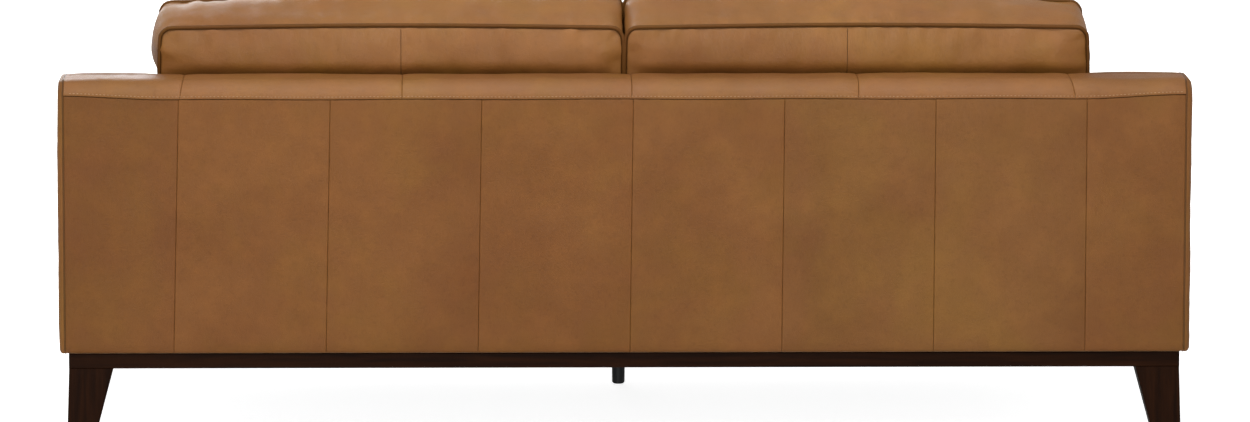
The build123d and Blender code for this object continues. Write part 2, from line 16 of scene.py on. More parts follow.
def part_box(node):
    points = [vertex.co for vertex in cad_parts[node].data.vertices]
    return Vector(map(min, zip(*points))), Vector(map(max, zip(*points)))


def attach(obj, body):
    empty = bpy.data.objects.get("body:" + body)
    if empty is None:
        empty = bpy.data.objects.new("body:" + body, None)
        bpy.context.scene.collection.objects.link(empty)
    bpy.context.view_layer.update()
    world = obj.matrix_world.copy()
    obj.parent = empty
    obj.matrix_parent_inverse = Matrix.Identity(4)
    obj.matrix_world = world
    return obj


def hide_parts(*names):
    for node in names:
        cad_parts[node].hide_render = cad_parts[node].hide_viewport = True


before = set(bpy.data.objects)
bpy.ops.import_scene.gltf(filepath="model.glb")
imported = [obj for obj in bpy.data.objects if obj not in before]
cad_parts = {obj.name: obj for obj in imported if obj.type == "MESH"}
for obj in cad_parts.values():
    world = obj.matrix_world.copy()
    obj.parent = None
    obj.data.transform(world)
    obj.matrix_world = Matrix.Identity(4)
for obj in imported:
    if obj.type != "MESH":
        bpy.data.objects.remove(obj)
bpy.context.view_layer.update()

bl_info = {
    "name": "Leather sofa upholstery",
    "version": (1, 0, 0),
    "blender": (4, 5, 0),
    "location": "3D View > Sidebar > Sofa",
    "description": "Builds the leather, cushions, timber and studio of a three-seat sofa",
    "category": "Object",
}

BODY = "sofa_frame"
SIDES = {"left": 1, "right": -1}

# ---- places read from the frame ------------------------------------------------------------------

arm_low, arm_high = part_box("arm_outer_cover_left")
inside_low, inside_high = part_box("inside_back_cover")

REAR = arm_high.y
FRONT = arm_low.y
BOTTOM = arm_low.z
TOP = arm_high.z
OUTSIDE = arm_high.x
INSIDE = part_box("arm_inner_cover_left")[0].x
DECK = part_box("deck_pad")[1].z
SEAM_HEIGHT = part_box("outside_back_cover")[1].z
CREST_ROUND = 0.025
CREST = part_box("arm_band_left")[1].y - CREST_ROUND
INSIDE_LEAN = (inside_high.y - inside_low.y - 0.002) / (inside_high.z - inside_low.z)

# Places of a panel's first points, from its seam inwards.
SEAM_STEPS = (0.0, 0.0004, 0.001, 0.002, 0.0035, 0.0055, 0.0085)

HIDE_THICKNESS = 0.0014
GATHER_REACH = 0.014  # how far from a seam its gathers die out
GATHER_LENGTH = 0.028  # of one gather along a seam
TUCK_HEIGHT = 0.016  # over which a lower edge turns under
FOOT_LEDGE = 0.001  # between a panel's lower edge and the plinth
DECK_START = 0.078  # how far behind the front the deck cloth starts
INSIDE_BACK_FOOT = 0.600  # height where the band ends and the inside back starts


# ---- shapes in numbers ---------------------------------------------------------------------------


def ripple(points, wavelength, seed, terms=7):
    """Smooth, unrepeating waves through space at some points, about -1 to 1."""
    rng = np.random.default_rng(seed)
    directions = rng.normal(size=(terms, 3))
    directions /= np.linalg.norm(directions, axis=1)[:, None]
    waves = directions * 2 * math.pi / wavelength * rng.uniform(0.6, 1.5, (terms, 1))
    phases = rng.uniform(0, 2 * math.pi, terms)
    return np.sin(points @ waves.T + phases).sum(1) / math.sqrt(terms)


def puckers(along, wavelength, seed):
    """Uneven gathers along a seam, about -1 to 1."""
    rng = np.random.default_rng(seed)
    total = np.zeros_like(along)
    for _ in range(6):
        total += np.sin(along * 2 * math.pi / (wavelength * rng.uniform(0.55, 2.2)) + rng.uniform(0, 6.3))
    return total / 3.2


def smooth_step(x, low, high):
    """0 below low, 1 above high, and a smooth rise between."""
    t = np.clip((x - low) / (high - low), 0, 1)
    return t * t * (3 - 2 * t)


def spread(length, step):
    """Places along a panel, close together at both ends, where its seams are."""
    ends = np.array(SEAM_STEPS)
    middle_from, middle_to = ends[-1], length - ends[-1]
    count = max(2, int(round((middle_to - middle_from) / step)) + 1)
    return np.concatenate([ends[:-1], np.linspace(middle_from, middle_to, count), length - ends[-2::-1]])


def mesh_object(name, points, faces, material, smooth=True):
    """A mesh object from points and faces, linked to the scene."""
    mesh = bpy.data.meshes.new(name)
    mesh.from_pydata([tuple(p) for p in points], [], [tuple(f) for f in faces])
    mesh.update()
    mesh.polygons.foreach_set("use_smooth", [smooth] * len(mesh.polygons))
    mesh.materials.append(material)
    obj = bpy.data.objects.new(name, mesh)
    bpy.context.scene.collection.objects.link(obj)
    return obj


def grid_faces(columns, rows, wrap=False, first=0):
    """Quads of a grid whose points run along a row first."""
    faces = []
    last = columns if wrap else columns - 1
    for r in range(rows - 1):
        for c in range(last):
            d = (c + 1) % columns
            here, above = first + r * columns, first + (r + 1) * columns
            faces.append((here + c, here + d, above + d, above + c))
    return faces


def place(obj, body, slot, *nodes):
    """Puts a finished piece on a body and hides the CAD nodes it stands for; its slot is not used."""
    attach(obj, body)
    if nodes:
        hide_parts(*nodes)
    return obj


class LeatherPanel:
    """A cut piece of hide over padding: it puffs between its seams and rolls under at each of them."""

    def __init__(self, surface, width, height, seed, open_edges="", puff=0.0025, reach=0.022, step=0.012,
                 gather=0.0009, unrest=0.0007, roll=0.0015, end_roll=0.0028):
        self.surface, self.width, self.height, self.seed = surface, width, height, seed
        self.open_edges, self.puff, self.reach, self.step = open_edges, puff, reach, step
        self.gather, self.unrest, self.roll, self.end_roll = gather, unrest, roll, end_roll

    def seams(self, u, v):
        """Distance to each sewn edge and place along it, for points at u and v."""
        edges = {"l": (u, v), "r": (self.width - u, v), "b": (v, u), "t": (self.height - v, u)}
        rolls = {"l": self.roll, "r": self.roll, "b": self.end_roll, "t": self.end_roll}
        return [
            (i, *edges[key], rolls[key])
            for i, key in enumerate("lrbt")
            if key not in self.open_edges
        ]

    def points(self):
        """The panel's grid of points, raised and rolled from its surface."""
        u, v = np.meshgrid(spread(self.width, self.step), spread(self.height, self.step))
        self.columns, self.rows = u.shape[1], u.shape[0]
        u, v = u.ravel(), v.ravel()
        p = self.surface(u, v)
        e = 2e-4
        across = self.surface(np.minimum(u + e, self.width), v) - self.surface(np.maximum(u - e, 0), v)
        along = self.surface(u, np.minimum(v + e, self.height)) - self.surface(u, np.maximum(v - e, 0))
        normal = np.cross(across, along)
        normal /= np.linalg.norm(normal, axis=1)[:, None]
        rise = np.full(len(u), self.puff)
        lift = ripple(p, 0.16, self.seed) * self.unrest
        lift += ripple(p, 0.05, self.seed + 50) * self.unrest * 0.25
        roll = np.zeros(len(u))
        for i, near, place_along, radius in self.seams(u, v):
            rise *= 1 - np.exp(-near / self.reach)
            lift *= 1 - np.exp(-near / 0.01)
            w = np.exp(-near / GATHER_REACH) * (1 - np.exp(-near / 0.003))
            lift += self.gather * w * puckers(place_along, GATHER_LENGTH, self.seed * 7 + i)
            curl = np.clip(1 - near / radius, 0, 1)
            roll = np.maximum(roll, 0.85 * radius * (1 - np.sqrt(1 - curl**2)))
        return p + normal * (rise + lift - roll)[:, None]

    def build(self, name, material):
        points = self.points()
        obj = mesh_object(name, points, grid_faces(self.columns, self.rows), material)
        hide = obj.modifiers.new("hide", "SOLIDIFY")
        hide.thickness = HIDE_THICKNESS
        hide.offset = -1
        return obj


def arc_path(corners, radii):
    """A polyline in a plane with rounded corners, as a function of distance along it, and its length."""
    pieces, cursor = [], np.array(corners[0], float)
    for i in range(1, len(corners)):
        here = np.array(corners[i], float)
        if i < len(corners) - 1 and radii[i]:
            before, after = here - np.array(corners[i - 1], float), np.array(corners[i + 1], float) - here
            before, after = before / np.linalg.norm(before), after / np.linalg.norm(after)
            turn = math.atan2(before[0] * after[1] - before[1] * after[0], before @ after)
            reach = radii[i] * math.tan(abs(turn) / 2)
            start = here - before * reach
            pieces.append(("line", cursor, before, np.linalg.norm(start - cursor)))
            side = np.array([-before[1], before[0]]) * math.copysign(1, turn)
            pieces.append(("arc", start + side * radii[i], (start, turn, radii[i]), abs(turn) * radii[i]))
            cursor = here + after * reach
        else:
            along = here - cursor
            pieces.append(("line", cursor, along / np.linalg.norm(along), np.linalg.norm(along)))
            cursor = here
    lengths = np.array([piece[3] for piece in pieces])
    starts = np.concatenate([[0], np.cumsum(lengths)])

    def at(s):
        s = np.asarray(s, float)
        out = np.zeros((len(s), 2))
        index = np.clip(np.searchsorted(starts, s, side="right") - 1, 0, len(pieces) - 1)
        for k, (kind, origin, data, length) in enumerate(pieces):
            chosen = index == k
            t = (s[chosen] - starts[k])[:, None]
            if kind == "line":
                out[chosen] = origin + data * t
            else:
                start, turn, radius = data
                angle = math.copysign(1, turn) * t[:, 0] / radius
                arm = start - origin
                out[chosen, 0] = origin[0] + arm[0] * np.cos(angle) - arm[1] * np.sin(angle)
                out[chosen, 1] = origin[1] + arm[0] * np.sin(angle) + arm[1] * np.cos(angle)
        return out

    return at, float(starts[-1])


def arm_top(y):
    """Height of an arm's top at some Y: it rises to the back's crest and then runs level."""
    low = bpy.context.scene.sofa_sizes.arm_front_height
    return TOP - (TOP - low) * np.clip((CREST - y) / (CREST - FRONT), 0, 1)


def turned_under(height):
    """How far, from 0 to 1, a lower edge has turned under at some height above it."""
    turn = np.clip(1 - height / TUCK_HEIGHT, 0, 0.999)
    return 1 - np.sqrt(1 - turn**2)


def inside_back_y(z):
    """Y of the inside back at some height."""
    return CREST - (TOP - z) * INSIDE_LEAN


def tube(points, radius, closed=False, sides=8):
    """Points and faces of a round tube along a line of points."""
    points = np.asarray(points, float)
    n = len(points)
    if closed:
        tangent = np.roll(points, -1, 0) - np.roll(points, 1, 0)
    else:
        tangent = np.gradient(points, axis=0)
    tangent /= np.linalg.norm(tangent, axis=1)[:, None]
    up = np.zeros((n, 3))
    seed = np.array([0.0, 0.0, 1.0]) if abs(tangent[0][2]) < 0.8 else np.array([0.0, 1.0, 0.0])
    up[0] = seed - tangent[0] * (seed @ tangent[0])
    for i in range(1, n):
        up[i] = up[i - 1] - tangent[i] * (up[i - 1] @ tangent[i])
        up[i] /= np.linalg.norm(up[i])
    up[0] /= np.linalg.norm(up[0])
    side = np.cross(tangent, up)
    if closed:
        twist = math.atan2(up[0] @ side[-1], up[0] @ up[-1])
        turn = np.linspace(0, twist, n)[:, None]
        up, side = up * np.cos(turn) + side * np.sin(turn), side * np.cos(turn) - up * np.sin(turn)
    angles = np.arange(sides) * 2 * math.pi / sides
    ring = up[:, None] * np.cos(angles)[None, :, None] + side[:, None] * np.sin(angles)[None, :, None]
    verts = (points[:, None] + ring * radius).reshape(-1, 3)
    faces = grid_faces(sides, n, wrap=True)
    last = (n - 1) * sides
    if closed:
        faces += [(last + k, last + (k + 1) % sides, (k + 1) % sides, k) for k in range(sides)]
    else:
        faces += [tuple(range(sides))[::-1], tuple(last + k for k in range(sides))]
    return verts, faces


def resample(points, step, closed=False):
    """The same line with evenly spaced points."""
    points = np.asarray(points, float)
    if closed:
        points = np.vstack([points, points[:1]])
    run = np.concatenate([[0], np.cumsum(np.linalg.norm(np.diff(points, axis=0), axis=1))])
    count = max(3, int(round(run[-1] / step)))
    s = np.linspace(0, run[-1], count + 1)
    if closed:
        s = s[:-1]
    return np.stack([np.interp(s, run, points[:, k]) for k in range(3)], 1)


def stitch_row(points, normals, length, gap, radius):
    """Points and faces of a row of thread stitches, each a small rounded bar whose ends dip in."""
    run = np.concatenate([[0], np.cumsum(np.linalg.norm(np.diff(points, axis=0), axis=1))])
    count = int(run[-1] / (length + gap))
    middles = (np.arange(count) + 0.5) * (length + gap)
    verts, faces, sides = [], [], 6
    angles = np.arange(sides) * 2 * math.pi / sides
    for s in middles:
        spine = [(-0.5, 0.35, -1.1), (-0.3, 1.0, 0.1), (0.3, 1.0, 0.1), (0.5, 0.35, -1.1)]
        first = len(verts)
        centre = np.array([np.interp(s, run, points[:, k]) for k in range(3)])
        normal = np.array([np.interp(s, run, normals[:, k]) for k in range(3)])
        ahead = np.array([np.interp(s + 1e-3, run, points[:, k]) for k in range(3)]) - centre
        ahead /= np.linalg.norm(ahead)
        across = np.cross(ahead, normal)
        for t, fat, rise in spine:
            ring = centre + ahead * t * length + normal * rise * radius
            for a in angles:
                verts.append(ring + (across * math.cos(a) + normal * math.sin(a)) * radius * fat)
        faces += grid_faces(sides, len(spine), wrap=True, first=first)
        faces.append(tuple(first + k for k in range(sides))[::-1])
        faces.append(tuple(first + (len(spine) - 1) * sides + k for k in range(sides)))
    return verts, faces


# ---- materials -----------------------------------------------------------------------------------


def new_group(name, inputs, outputs):
    """A shader node group with named inputs (name, kind, default) and outputs (name, kind)."""
    tree = bpy.data.node_groups.new(name, "ShaderNodeTree")
    for label, kind, default in inputs:
        socket = tree.interface.new_socket(label, in_out="INPUT", socket_type=kind)
        socket.default_value = default
    for label, kind in outputs:
        tree.interface.new_socket(label, in_out="OUTPUT", socket_type=kind)
    return tree, tree.nodes.new("NodeGroupInput"), tree.nodes.new("NodeGroupOutput")


def add_node(tree, kind, links=(), **values):
    """A node with its settings and input values, and links into it: (input, socket)."""
    node = tree.nodes.new(kind)
    for key, value in values.items():
        if hasattr(node, key):
            setattr(node, key, value)
        else:
            node.inputs[key.replace("_", " ")].default_value = value
    for target, source in links:
        tree.links.new(source, node.inputs[target])
    return node


def mix_colour(tree, factor, a, b, mode="MIX"):
    """A colour mix node; factor, a and b are sockets or plain values."""
    node = tree.nodes.new("ShaderNodeMix")
    node.data_type, node.blend_type = "RGBA", mode
    for socket, value in ((node.inputs["Factor"], factor), (node.inputs[6], a), (node.inputs[7], b)):
        if isinstance(value, bpy.types.NodeSocket):
            tree.links.new(value, socket)
        else:
            socket.default_value = value
    return node.outputs[2]


def maths(tree, operation, a, b=0.0):
    """A math node; a and b are sockets or numbers."""
    node = tree.nodes.new("ShaderNodeMath")
    node.operation = operation
    for socket, value in zip(node.inputs, (a, b)):
        if isinstance(value, bpy.types.NodeSocket):
            tree.links.new(value, socket)
        else:
            socket.default_value = value
    return node.outputs[0]


def map_range(tree, value, low, high, to_low=0.0, to_high=1.0):
    """Maps a value between two limits onto two others."""
    node = tree.nodes.new("ShaderNodeMapRange")
    tree.links.new(value, node.inputs["Value"])
    for key, number in (("From Min", low), ("From Max", high), ("To Min", to_low), ("To Max", to_high)):
        node.inputs[key].default_value = number
    return node.outputs["Result"]


def hide_tone_group():
    """Mottled dye of an aniline hide: cloudy patches, a yellow and a red drift, and fine flecks."""
    tree, given, out = new_group(
        "Hide tone",
        [("Dye", "NodeSocketColor", (0.3, 0.13, 0.05, 1)), ("Mottle", "NodeSocketFloat", 1.0),
         ("Polish", "NodeSocketFloat", 0.5)],
        [("Color", "NodeSocketColor"), ("Roughness", "NodeSocketFloat")],
    )
    where = tree.nodes.new("ShaderNodeTexCoord").outputs["Object"]
    cloud = add_node(tree, "ShaderNodeTexNoise", [("Vector", where)], Scale=3.1, Detail=5.0,
                     Roughness=0.55)
    drift = add_node(tree, "ShaderNodeTexNoise", [("Vector", where)], Scale=7.3, Detail=3.0,
                     Distortion=0.6)
    fleck = add_node(tree, "ShaderNodeTexNoise", [("Vector", where)], Scale=140.0, Detail=2.0)
    blotch = add_node(tree, "ShaderNodeTexNoise", [("Vector", where)], Scale=21.0, Detail=4.0,
                      Roughness=0.6)
    dye = given.outputs["Dye"]
    shade = map_range(tree, cloud.outputs["Fac"], 0.38, 0.62, 0.0, 1.0)
    amount = maths(tree, "MULTIPLY", given.outputs["Mottle"], shade)
    darker = mix_colour(tree, 1.0, dye, (0.80, 0.73, 0.65, 1), "MULTIPLY")
    colour = mix_colour(tree, amount, dye, darker)
    yellow = mix_colour(tree, 1.0, colour, (1.0, 1.07, 0.86, 1), "MULTIPLY")
    colour = mix_colour(tree, map_range(tree, drift.outputs["Fac"], 0.42, 0.68), colour, yellow)
    light = mix_colour(tree, 1.0, colour, (1.20, 1.21, 1.28, 1), "MULTIPLY")
    patch = maths(tree, "MULTIPLY", given.outputs["Mottle"],
                  map_range(tree, blotch.outputs["Fac"], 0.45, 0.75, 0.0, 0.8))
    colour = mix_colour(tree, patch, colour, light)
    dark = mix_colour(tree, 1.0, colour, (0.86, 0.84, 0.82, 1), "MULTIPLY")
    colour = mix_colour(tree, map_range(tree, fleck.outputs["Fac"], 0.55, 0.8, 0.0, 0.7), colour, dark)
    tree.links.new(colour, out.inputs["Color"])
    rough = maths(tree, "ADD", given.outputs["Polish"],
                  map_range(tree, blotch.outputs["Fac"], 0.3, 0.7, -0.05, 0.07))
    tree.links.new(rough, out.inputs["Roughness"])
    return tree


def hide_grain_group():
    """Relief of full-grain leather: pebbled cells, pores and soft creases."""
    tree, given, out = new_group(
        "Hide grain",
        [("Grain", "NodeSocketFloat", 1.0), ("Creases", "NodeSocketFloat", 1.0)],
        [("Height", "NodeSocketFloat")],
    )
    where = tree.nodes.new("ShaderNodeTexCoord").outputs["Object"]
    wander = add_node(tree, "ShaderNodeTexNoise", [("Vector", where)], Scale=90.0, Detail=2.0)
    bent = mix_colour(tree, 0.012, where, wander.outputs["Color"])
    cells = add_node(tree, "ShaderNodeTexVoronoi", [("Vector", bent)], Scale=430.0,
                     feature="DISTANCE_TO_EDGE")
    pebble = map_range(tree, cells.outputs["Distance"], 0.0, 0.22)
    pores = add_node(tree, "ShaderNodeTexNoise", [("Vector", where)], Scale=900.0, Detail=2.0)
    crease = add_node(tree, "ShaderNodeTexNoise", [("Vector", where)], Scale=26.0, Detail=6.0,
                      Roughness=0.62, Distortion=1.1)
    fold = maths(tree, "MULTIPLY", map_range(tree, crease.outputs["Fac"], 0.3, 0.7), 1.6)
    grain = maths(tree, "MULTIPLY",
                  maths(tree, "ADD", pebble, maths(tree, "MULTIPLY", pores.outputs["Fac"], 0.5)),
                  given.outputs["Grain"])
    height = maths(tree, "ADD", grain, maths(tree, "MULTIPLY", fold, given.outputs["Creases"]))
    tree.links.new(height, out.inputs["Height"])
    return tree


def timber_group():
    """Long straight grain with growth bands and open pores, along the piece's X, Y or Z."""
    tree, given, out = new_group(
        "Timber grain",
        [("Early wood", "NodeSocketColor", (0.5, 0.3, 0.2, 1)),
         ("Late wood", "NodeSocketColor", (0.3, 0.2, 0.1, 1)),
         ("Stretch", "NodeSocketVector", (1.0, 14.0, 14.0)), ("Figure", "NodeSocketFloat", 1.0)],
        [("Color", "NodeSocketColor"), ("Height", "NodeSocketFloat")],
    )
    where = tree.nodes.new("ShaderNodeTexCoord").outputs["Object"]
    long = add_node(tree, "ShaderNodeVectorMath", [(0, where), (1, given.outputs["Stretch"])],
                    operation="MULTIPLY")
    bands = add_node(tree, "ShaderNodeTexNoise", [("Vector", long.outputs[0])], Scale=5.0, Detail=6.0,
                     Roughness=0.6, Distortion=0.5)
    pores = add_node(tree, "ShaderNodeTexNoise", [("Vector", long.outputs[0])], Scale=70.0, Detail=3.0)
    mask = maths(tree, "MULTIPLY", map_range(tree, bands.outputs["Fac"], 0.35, 0.65),
                 given.outputs["Figure"])
    colour = mix_colour(tree, mask, given.outputs["Early wood"], given.outputs["Late wood"])
    tree.links.new(colour, out.inputs["Color"])
    height = maths(tree, "ADD", maths(tree, "MULTIPLY", mask, 0.4),
                   map_range(tree, pores.outputs["Fac"], 0.4, 0.6))
    tree.links.new(height, out.inputs["Height"])
    return tree


def weave_group():
    """Two sets of crossing yarns: a mask for the colour and a relief."""
    tree, given, out = new_group(
        "Cloth weave",
        [("Yarns per metre", "NodeSocketFloat", 900.0)],
        [("Mask", "NodeSocketFloat"), ("Height", "NodeSocketFloat")],
    )
    where = tree.nodes.new("ShaderNodeTexCoord").outputs["Object"]
    split = add_node(tree, "ShaderNodeSeparateXYZ", [(0, where)])
    turns = maths(tree, "MULTIPLY", given.outputs["Yarns per metre"], math.pi)
    warp = maths(tree, "SINE", maths(tree, "MULTIPLY", split.outputs["X"], turns))
    weft_place = maths(tree, "ADD", split.outputs["Y"], split.outputs["Z"])
    weft = maths(tree, "SINE", maths(tree, "MULTIPLY", weft_place, turns))
    cross = maths(tree, "MULTIPLY", warp, weft)
    fuzz = add_node(tree, "ShaderNodeTexNoise", [("Vector", where)], Scale=260.0, Detail=3.0)
    height = maths(tree, "ADD", cross, fuzz.outputs["Fac"])
    tree.links.new(map_range(tree, height, -0.5, 1.5), out.inputs["Mask"])
    tree.links.new(height, out.inputs["Height"])
    return tree


def shared_group(name):
    """One of the shared effects, built the first time it is asked for."""
    makers = {
        "Hide tone": hide_tone_group,
        "Hide grain": hide_grain_group,
        "Timber grain": timber_group,
        "Cloth weave": weave_group,
    }
    return bpy.data.node_groups.get(name) or makers[name]()


def blank_material(name, roughness=0.5):
    """A material with its Principled shader, and its node tree."""
    material = bpy.data.materials.new(name)
    material.use_nodes = True
    tree = material.node_tree
    shader = next(n for n in tree.nodes if n.type == "BSDF_PRINCIPLED")
    shader.inputs["Roughness"].default_value = roughness
    return material, tree, shader


def place_group(tree, name, **values):
    """A shared effect placed in a material with its own values."""
    node = tree.nodes.new("ShaderNodeGroup")
    node.node_tree = shared_group(name)
    for key, value in values.items():
        node.inputs[key.replace("_", " ")].default_value = value
    return node


def bump(tree, shader, height, strength, distance):
    """Gives a shader the relief of a height."""
    node = add_node(tree, "ShaderNodeBump", [("Height", height)], Strength=strength, Distance=distance)
    tree.links.new(node.outputs["Normal"], shader.inputs["Normal"])


def leather(name, tint=1.0, mottle=0.6, polish=0.5, creases=0.6, shine=0.16, red=0.0):
    """A cognac hide, lighter or darker by tint and warmer by red."""
    if name in bpy.data.materials:
        return bpy.data.materials[name]
    dye = [min(1.0, c * tint * w)
           for c, w in zip(bpy.context.scene.sofa_colours.hide, (1 + red, 1, 1 - red))]
    material, tree, shader = blank_material(name)
    tone = place_group(tree, "Hide tone", Dye=(*dye, 1), Mottle=mottle, Polish=polish)
    grain = place_group(tree, "Hide grain", Grain=1.0, Creases=creases)
    tree.links.new(tone.outputs["Color"], shader.inputs["Base Color"])
    tree.links.new(tone.outputs["Roughness"], shader.inputs["Roughness"])
    shader.inputs["Specular IOR Level"].default_value = shine
    bump(tree, shader, grain.outputs["Height"], 0.35, 0.0007)
    return material


def timber(name, early, late, stretch, roughness, figure=1.0):
    """Sawn or lacquered timber with its grain along the small part of stretch."""
    if name in bpy.data.materials:
        return bpy.data.materials[name]
    material, tree, shader = blank_material(name, roughness)
    grain = place_group(tree, "Timber grain", Early_wood=(*early, 1), Late_wood=(*late, 1),
                        Stretch=stretch, Figure=figure)
    tree.links.new(grain.outputs["Color"], shader.inputs["Base Color"])
    shader.inputs["Specular IOR Level"].default_value = 0.03
    bump(tree, shader, grain.outputs["Height"], 0.25, 0.0003)
    return material


def cloth(name, light, dark, yarns, roughness=0.9):
    """A woven or felted cloth."""
    if name in bpy.data.materials:
        return bpy.data.materials[name]
    material, tree, shader = blank_material(name, roughness)
    weave = place_group(tree, "Cloth weave", Yarns_per_metre=yarns)
    colour = mix_colour(tree, weave.outputs["Mask"], (*dark, 1), (*light, 1))
    tree.links.new(colour, shader.inputs["Base Color"])
    shader.inputs["Sheen Weight"].default_value = 0.15
    bump(tree, shader, weave.outputs["Height"], 0.5, 0.0004)
    return material


def cellular(name, light, dark, scale, roughness, relief):
    """Foam, moulded plastic or plated metal: fine cells or specks over a plain colour."""
    if name in bpy.data.materials:
        return bpy.data.materials[name]
    material, tree, shader = blank_material(name, roughness)
    where = tree.nodes.new("ShaderNodeTexCoord").outputs["Object"]
    speck = add_node(tree, "ShaderNodeTexNoise", [("Vector", where)], Scale=scale, Detail=3.0)
    mask = map_range(tree, speck.outputs["Fac"], 0.35, 0.65)
    tree.links.new(mix_colour(tree, mask, (*dark, 1), (*light, 1)), shader.inputs["Base Color"])
    tree.links.new(map_range(tree, speck.outputs["Fac"], 0.3, 0.7, roughness - 0.06, roughness + 0.06),
                   shader.inputs["Roughness"])
    bump(tree, shader, speck.outputs["Fac"], 0.4, relief)
    return material


def steel():
    material = cellular("zinc_plate", (0.55, 0.56, 0.57), (0.40, 0.40, 0.41), 300.0, 0.36, 0.0001)
    shader = next(n for n in material.node_tree.nodes if n.type == "BSDF_PRINCIPLED")
    shader.inputs["Metallic"].default_value = 1.0
    return material


# The top band's hide, tinted lighter than the back: partly its own tone and partly painted light from above
# on the band.
def light_hide():
    return leather("hide_band", 1.18, 0.8, 0.51, shine=0.32, red=0.03)


def welt_hide():
    return leather("hide_welt", 0.52, 0.4, 0.5, 0.2)


# A very dark hide for thin tubes laid along grooves and seams, where they stand for painted shade.
def painted_shade_hide():
    return leather("hide_fold", 0.30, 0.3, 0.6, 0.2, 0.05, 0.1)


# The cushions' hide, tinted much lighter than the rest: painted light from above on their crowned faces.
def lit_cushion_hide():
    return leather("hide_cushion", 1.38, 0.8, 0.45, 0.9, 0.30)


# ---- sizes and colours ---------------------------------------------------------------------------


class SofaSizes(PropertyGroup):
    """Sizes of the upholstery that the frame doesn't fix."""

    arm_front_height: FloatProperty(name="Arm height at the front", default=0.570, unit="LENGTH",
                                    description="Height of the arm's top where it meets the front")
    corner_strip: FloatProperty(name="Corner strip", default=0.0105, unit="LENGTH",
                                description="How far an arm's outer leather turns on to the rear")
    piping_radius: FloatProperty(name="Piping radius", default=0.0035, unit="LENGTH",
                                 description="Of the cushions' corded edge")
    welt_radius: FloatProperty(name="Welt radius", default=0.0017, unit="LENGTH",
                               description="Of the fine welt at the arms")
    stitch_length: FloatProperty(name="Stitch length", default=0.0042, unit="LENGTH",
                                 description="Of one top stitch")
    stitch_gap: FloatProperty(name="Stitch gap", default=0.0030, unit="LENGTH",
                              description="Between two top stitches")
    seat_crown: FloatProperty(name="Seat crown", default=0.024, unit="LENGTH",
                              description="Most that a seat cushion may swell")
    back_crown: FloatProperty(name="Back crown", default=0.027, unit="LENGTH",
                              description="Most that a back cushion may swell")
    swell_steps: IntProperty(name="Swell steps", default=20, min=5, max=60,
                             description="Frames for which a cushion swells")


class SofaColours(PropertyGroup):
    """Colours of the leather, thread and plinth."""

    hide: FloatVectorProperty(name="Hide", subtype="COLOR", size=3, default=(0.156, 0.0630, 0.0145),
                              min=0, max=1,
                              description="Dye of the leather")
    thread: FloatVectorProperty(name="Thread", subtype="COLOR", size=3, default=(0.32, 0.185, 0.085),
                                min=0, max=1,
                                description="Top stitching")
    plinth: FloatVectorProperty(name="Plinth", subtype="COLOR", size=3,
                                default=(0.0150, 0.0045, 0.0012), min=0, max=1,
                                description="Stain of the plinth and the legs")


# ---- the outside back ----------------------------------------------------------------------------

PANEL_PITCH = 0.287
PANEL_SHIFT = -0.015
SEAM_DRIFT = (0.006, 0.007)


def back_seams():
    """X of the outside back's upright seams at their tops, with both corner seams."""
    corner = OUTSIDE - bpy.context.scene.sofa_sizes.corner_strip
    return [-corner, *[PANEL_SHIFT + i * PANEL_PITCH for i in range(-3, 4)], corner]


def seam_line(x_top, z):
    """X of an upright seam at some height: the lower ends drift a little to one side."""
    edge = abs(x_top) > 1
    drift = 0.0 if edge else SEAM_DRIFT[0] + SEAM_DRIFT[1] * x_top
    return x_top + drift * (SEAM_HEIGHT - z) / (SEAM_HEIGHT - BOTTOM)


def rear_seam_height(x):
    """Height of the seam under the top band: it lifts towards both corners and wanders slightly."""
    return SEAM_HEIGHT + 0.007 * smooth_step(abs(x), 0.86, 1.06) + 0.0006 * np.sin(x * 17 + 1.0)


def outside_back_surface(x0, x1):
    """The rear face between two upright seams, from its bottom edge to the top band's seam."""

    def surface(u, v):
        f = u / (abs(x1 - x0))
        rough_x = x1 + (x0 - x1) * f
        z = BOTTOM + FOOT_LEDGE + v * (rear_seam_height(rough_x) - BOTTOM) / (SEAM_HEIGHT - BOTTOM)
        x = seam_line(x1, z) + (seam_line(x0, z) - seam_line(x1, z)) * f
        y = REAR - 0.0015 - 0.010 * turned_under(z - BOTTOM)
        return np.stack([x, y, z], 1)

    return surface


class SOFA_OT_outside_back(Operator):
    """Covers the rear with eight upright leather panels"""

    bl_idname = "sofa.outside_back"
    bl_label = "Outside back"

    def execute(self, context):
        seams = back_seams()
        # How light and how warm each panel's hide is, from the sofa's right to its left.
        tints = (0.93, 0.91, 0.91, 0.96, 0.905, 0.82, 0.835, 0.72)
        reds = (0.03, 0.0, 0.0, 0.02, 0.06, 0.085, 0.08, 0.12)
        for i, (x0, x1) in enumerate(zip(seams, seams[1:])):
            hide = leather(f"hide_back_{i}", tints[i], 0.95, 0.52, red=reds[i])
            height = SEAM_HEIGHT - BOTTOM - FOOT_LEDGE
            panel = LeatherPanel(outside_back_surface(x0, x1), x1 - x0, height, 11 + i, puff=0.0022,
                                 gather=0.0011, unrest=0.0009)
            obj = panel.build(f"outside_back_panel_{i + 1}", hide)
            nodes = ("outside_back_cover", "outside_back_wadding") if i == 0 else ()
            place(obj, BODY, "leather", *nodes)
        return {"FINISHED"}


# ---- the band over the top of the back -----------------------------------------------------------

BAND_SEAMS = (0.838, 0.423, -0.012, -0.442, -0.846)
BAND_ROUND = 0.030


def flip(surface, width):
    """The same surface run from its other side, so that it faces the other way."""
    return lambda u, v: surface(width - u, v)


